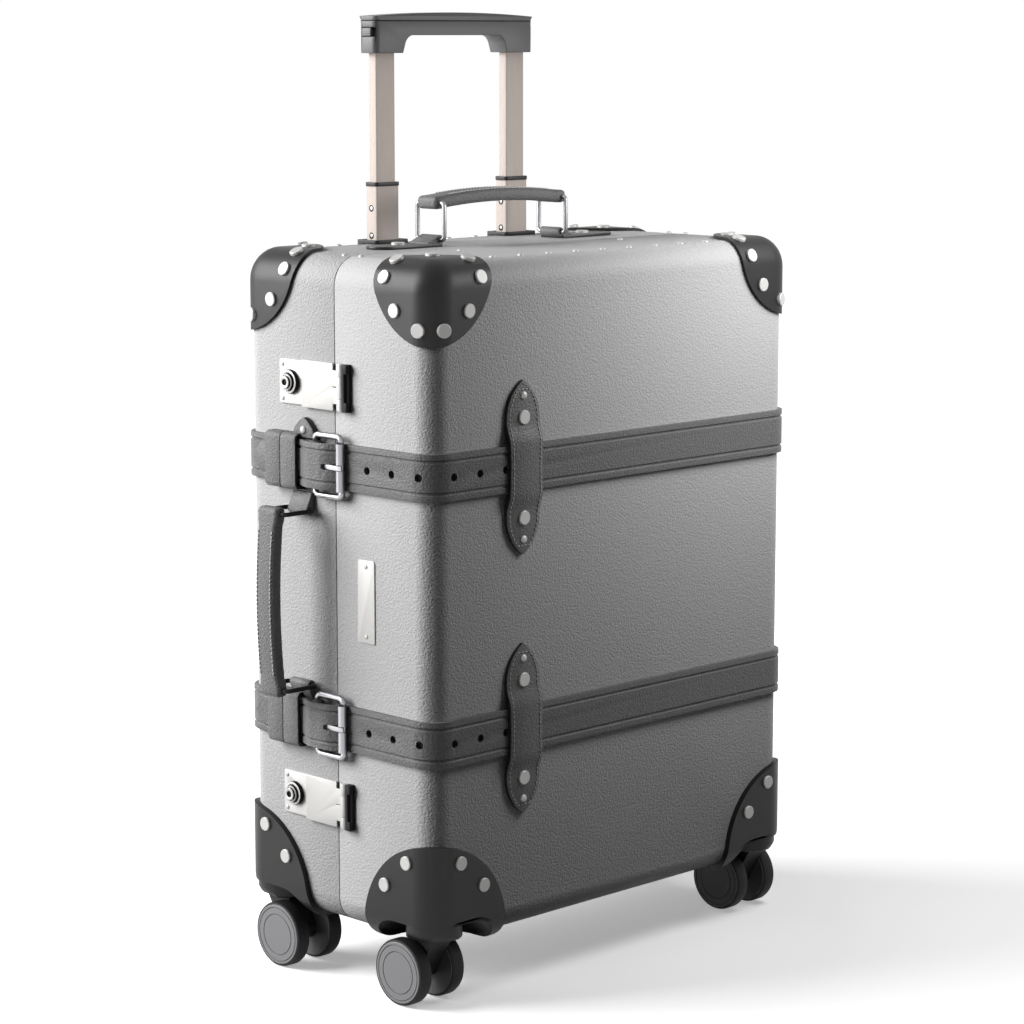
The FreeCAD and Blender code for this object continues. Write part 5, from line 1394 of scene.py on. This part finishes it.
def round_standing_edges(block, radius, segments):
    """Round the four upright edges of a block."""
    pick(block, "EDGE", lambda ends: abs(ends[0].z - ends[1].z) > 1)
    bpy.ops.mesh.bevel(offset=radius * MM, segments=segments, affect="EDGES")
    leave_edit()


def post_pair(name, wide, deep, low, high, bore, bend):
    """A pair of rectangular tubes with rounded edges."""
    tubes = []
    for sign in (-1, 1):
        tube = post_block(name, wide / 2, deep / 2, low, high, sign)
        round_standing_edges(tube, bend, 4)
        combine(tube, post_block("bore", bore[0] / 2, bore[1] / 2, low - 5, high + 5, sign))
        tubes.append(soften(tube, 0.25, 2, 60))
    return join(name, tubes)


inner = post_pair("inner_posts", wide=19.6, deep=8.8, low=272, high=692.5, bore=(17.2, 6.4), bend=1.3)
dress(inner, "trolley_inner", "post_aluminium", ["trolley_inner_tubes"])
middle = post_pair("middle_posts", wide=MIDDLE_WIDE, deep=12.6, low=161, high=MIDDLE_TOP, bore=MIDDLE_BORE,
                   bend=1.6)
dress(middle, "trolley_middle", "post_aluminium", ["trolley_middle_tubes"])
collars = post_pair("post_collars", wide=25, deep=14.2, low=MIDDLE_TOP, high=MIDDLE_TOP + COLLAR_HIGH,
                    bore=MIDDLE_BORE, bend=3)
dress(collars, "trolley_middle", "trim_black", ["trolley_collars"])
print("Posts: 4, collars: 2")

# %% Spring pins and bezels
PIN_HEIGHTS, PIN_RADIUS = (574, 553), 1.5
SPRING_PIN = [(0, 0.25), (1, 0.22), (PIN_RADIUS, 0.05), (PIN_RADIUS, -0.5), (0, -0.5)]
PIN_SHADE_RING = [(PIN_RADIUS, 0.12), (2.5, 0.12), (2.6, 0), (2.6, -0.4), (PIN_RADIUS, -0.4), (PIN_RADIUS, 0.12)]
BEZEL_WIDE, BEZEL_DEEP, BEZEL_SUNK, BEZEL_LIFT, BEZEL_BEND = 17.2, 11.8, 9, 3, 3
BEZEL_HOLE_WIDE, BEZEL_HOLE_DEEP = 13.5, 8.1
springs = []
pin_shade_rings = []
for sign in (-1, 1):
    for height in PIN_HEIGHTS:
        spot = (POST_X * sign - MIDDLE_WIDE / 2, POST_Y, height)
        springs.append(turned("spring_pin", SPRING_PIN, spot, (-1, 0, 0), 20))
        pin_shade_rings.append(turned("pin_shade_ring", PIN_SHADE_RING, spot, (-1, 0, 0), 24))
dress(join("spring_pins", springs), "trolley_middle", "nickel", [], SATIN_WIRE)
# Painted shade: a black ring round each spring pin, so that the gap of its hole reads dark.
dress(join("spring_pin_shade_rings", pin_shade_rings), "trolley_middle", "nickel", [], SHADOW_BLACK)
bezels = []
for sign in (-1, 1):
    bezel = post_block("bezel", BEZEL_WIDE, BEZEL_DEEP, HIGH - BEZEL_SUNK, HIGH + BEZEL_LIFT, sign)
    round_standing_edges(bezel, BEZEL_BEND, 5)
    combine(bezel, rounded_block("case_form", 0, -DEPTH, DEPTH))
    combine(bezel, post_block("hole", BEZEL_HOLE_WIDE, BEZEL_HOLE_DEEP, HIGH - 30, HIGH + 9, sign))
    bezels.append(soften(bezel, 0.6, 2, 50))
dress(join("post_bezels", bezels), "base", "trim_black", ["trolley_bezels"])
print("Spring pins:", len(springs), "bezels:", len(bezels))

# %% Moulded grip
GRIP_HALF, GRIP_DEEP, GRIP_FOOT, GRIP_TOP = 85, 19.5, 692, 720
PART_LINE, PART_GAP, CROWN, PRESS_Z = 716.4, 0.5, 3, 708
HOLLOW_FOOT, HOLLOW_ROOF, HOLLOW_HIGH, HOLLOW_BEND = 56, 51.6, 13.5, 9
POCKET_DEEP, POCKET_HALF, PRESS_HALF, POCKET_SHADE_HALF = 9, 3.5, 3.15, 1.2
PARTING_SHADE_INSET, PARTING_SHADE_DEEP, PARTING_SHADE_HALF, GRIP_CORNER, PRESS_SUNK, PRESS_OUT = 1.5, 8.6, 2, 5, 5, 0.9


def moulded(name, rim):
    """Push an outline through the grip's depth and round its four standing corners."""
    piece = cut_out(name, [(x, POST_Y - GRIP_DEEP / 2, z) for x, z in rim], (0, GRIP_DEEP, 0))
    pick(piece, "EDGE", lambda ends: all(abs(end.x) > GRIP_HALF - 0.1 for end in ends)
         and abs(ends[0].z - ends[1].z) > 1)
    bpy.ops.mesh.bevel(offset=GRIP_CORNER * MM, segments=6, affect="EDGES")
    leave_edit()
    return piece


def end_block(name, ends, front, back, half_high):
    """A block at one end of the grip, between two places along it, about the press button's height."""
    return add_block(name, (min(ends), POST_Y - front, PRESS_Z - half_high),
                     (max(ends), POST_Y + back, PRESS_Z + half_high))


roof = GRIP_FOOT + HOLLOW_HIGH
hollow_line = [(-HOLLOW_FOOT, 0, GRIP_FOOT), (-HOLLOW_ROOF, 0, roof), (HOLLOW_ROOF, 0, roof),
               (HOLLOW_FOOT, 0, GRIP_FOOT)]
hollow = round_path(hollow_line, HOLLOW_BEND, 7, closed=False)
rim = [(-GRIP_HALF, GRIP_FOOT), *((point.x, point.z) for point in hollow), (GRIP_HALF, GRIP_FOOT),
       (GRIP_HALF, PART_LINE), (-GRIP_HALF, PART_LINE)]
mould = moulded("trolley_grip_mould", rim)
crown = [(GRIP_HALF * math.cos(math.radians(turn)), GRIP_TOP + CROWN * math.sin(math.radians(turn)) ** 2)
         for turn in range(0, 181, 10)]
cap_foot = PART_LINE + PART_GAP
cap = moulded("trolley_grip_cap", [(-GRIP_HALF, cap_foot), (GRIP_HALF, cap_foot), *crown])
# Painted shade: a black block behind the parting line, and one in each button pocket.
parting_shade = add_block("trolley_grip_core", (-GRIP_HALF + PARTING_SHADE_INSET, POST_Y - PARTING_SHADE_DEEP, PART_LINE - PARTING_SHADE_HALF),
                 (GRIP_HALF - PARTING_SHADE_INSET, POST_Y + PARTING_SHADE_DEEP, PART_LINE + PARTING_SHADE_HALF))
grip_shades = [parting_shade]
for sign, hand in ((-1, "left"), (1, "right")):
    end = GRIP_HALF * sign
    deep = (GRIP_HALF - POCKET_DEEP) * sign
    combine(mould, end_block("pocket", (deep, end + 5 * sign), front=8.2, back=5.4, half_high=POCKET_HALF))
    grip_shades.append(end_block("liner", (deep - POCKET_SHADE_HALF, deep + POCKET_SHADE_HALF), front=8.1, back=5.3,
                            half_high=POCKET_HALF - 0.1))
    press = end_block(f"grip_press_{hand}", (end - PRESS_SUNK * sign, end + PRESS_OUT * sign), front=5,
                      back=5, half_high=PRESS_HALF)
    dress(soften(press, 0.7, 3), f"grip_button_{hand}", "grip_plastic", [f"grip_button_{hand}"])
dress(soften(mould, 1.3, 3), "trolley_inner", "grip_plastic", ["trolley_grip"])
dress(soften(cap, 0.8, 3), "trolley_inner", "grip_plastic", ["trolley_grip"])
# These black blocks are painted shade, so that the parting line and the pockets read dark.
gaps = soften(join("trolley_grip_gaps", grip_shades), 0.2, 1)
dress(gaps, "trolley_inner", "grip_plastic", ["trolley_grip"], SHADOW_BLACK)
print("Trolley grip: 3 pieces and 2 buttons")
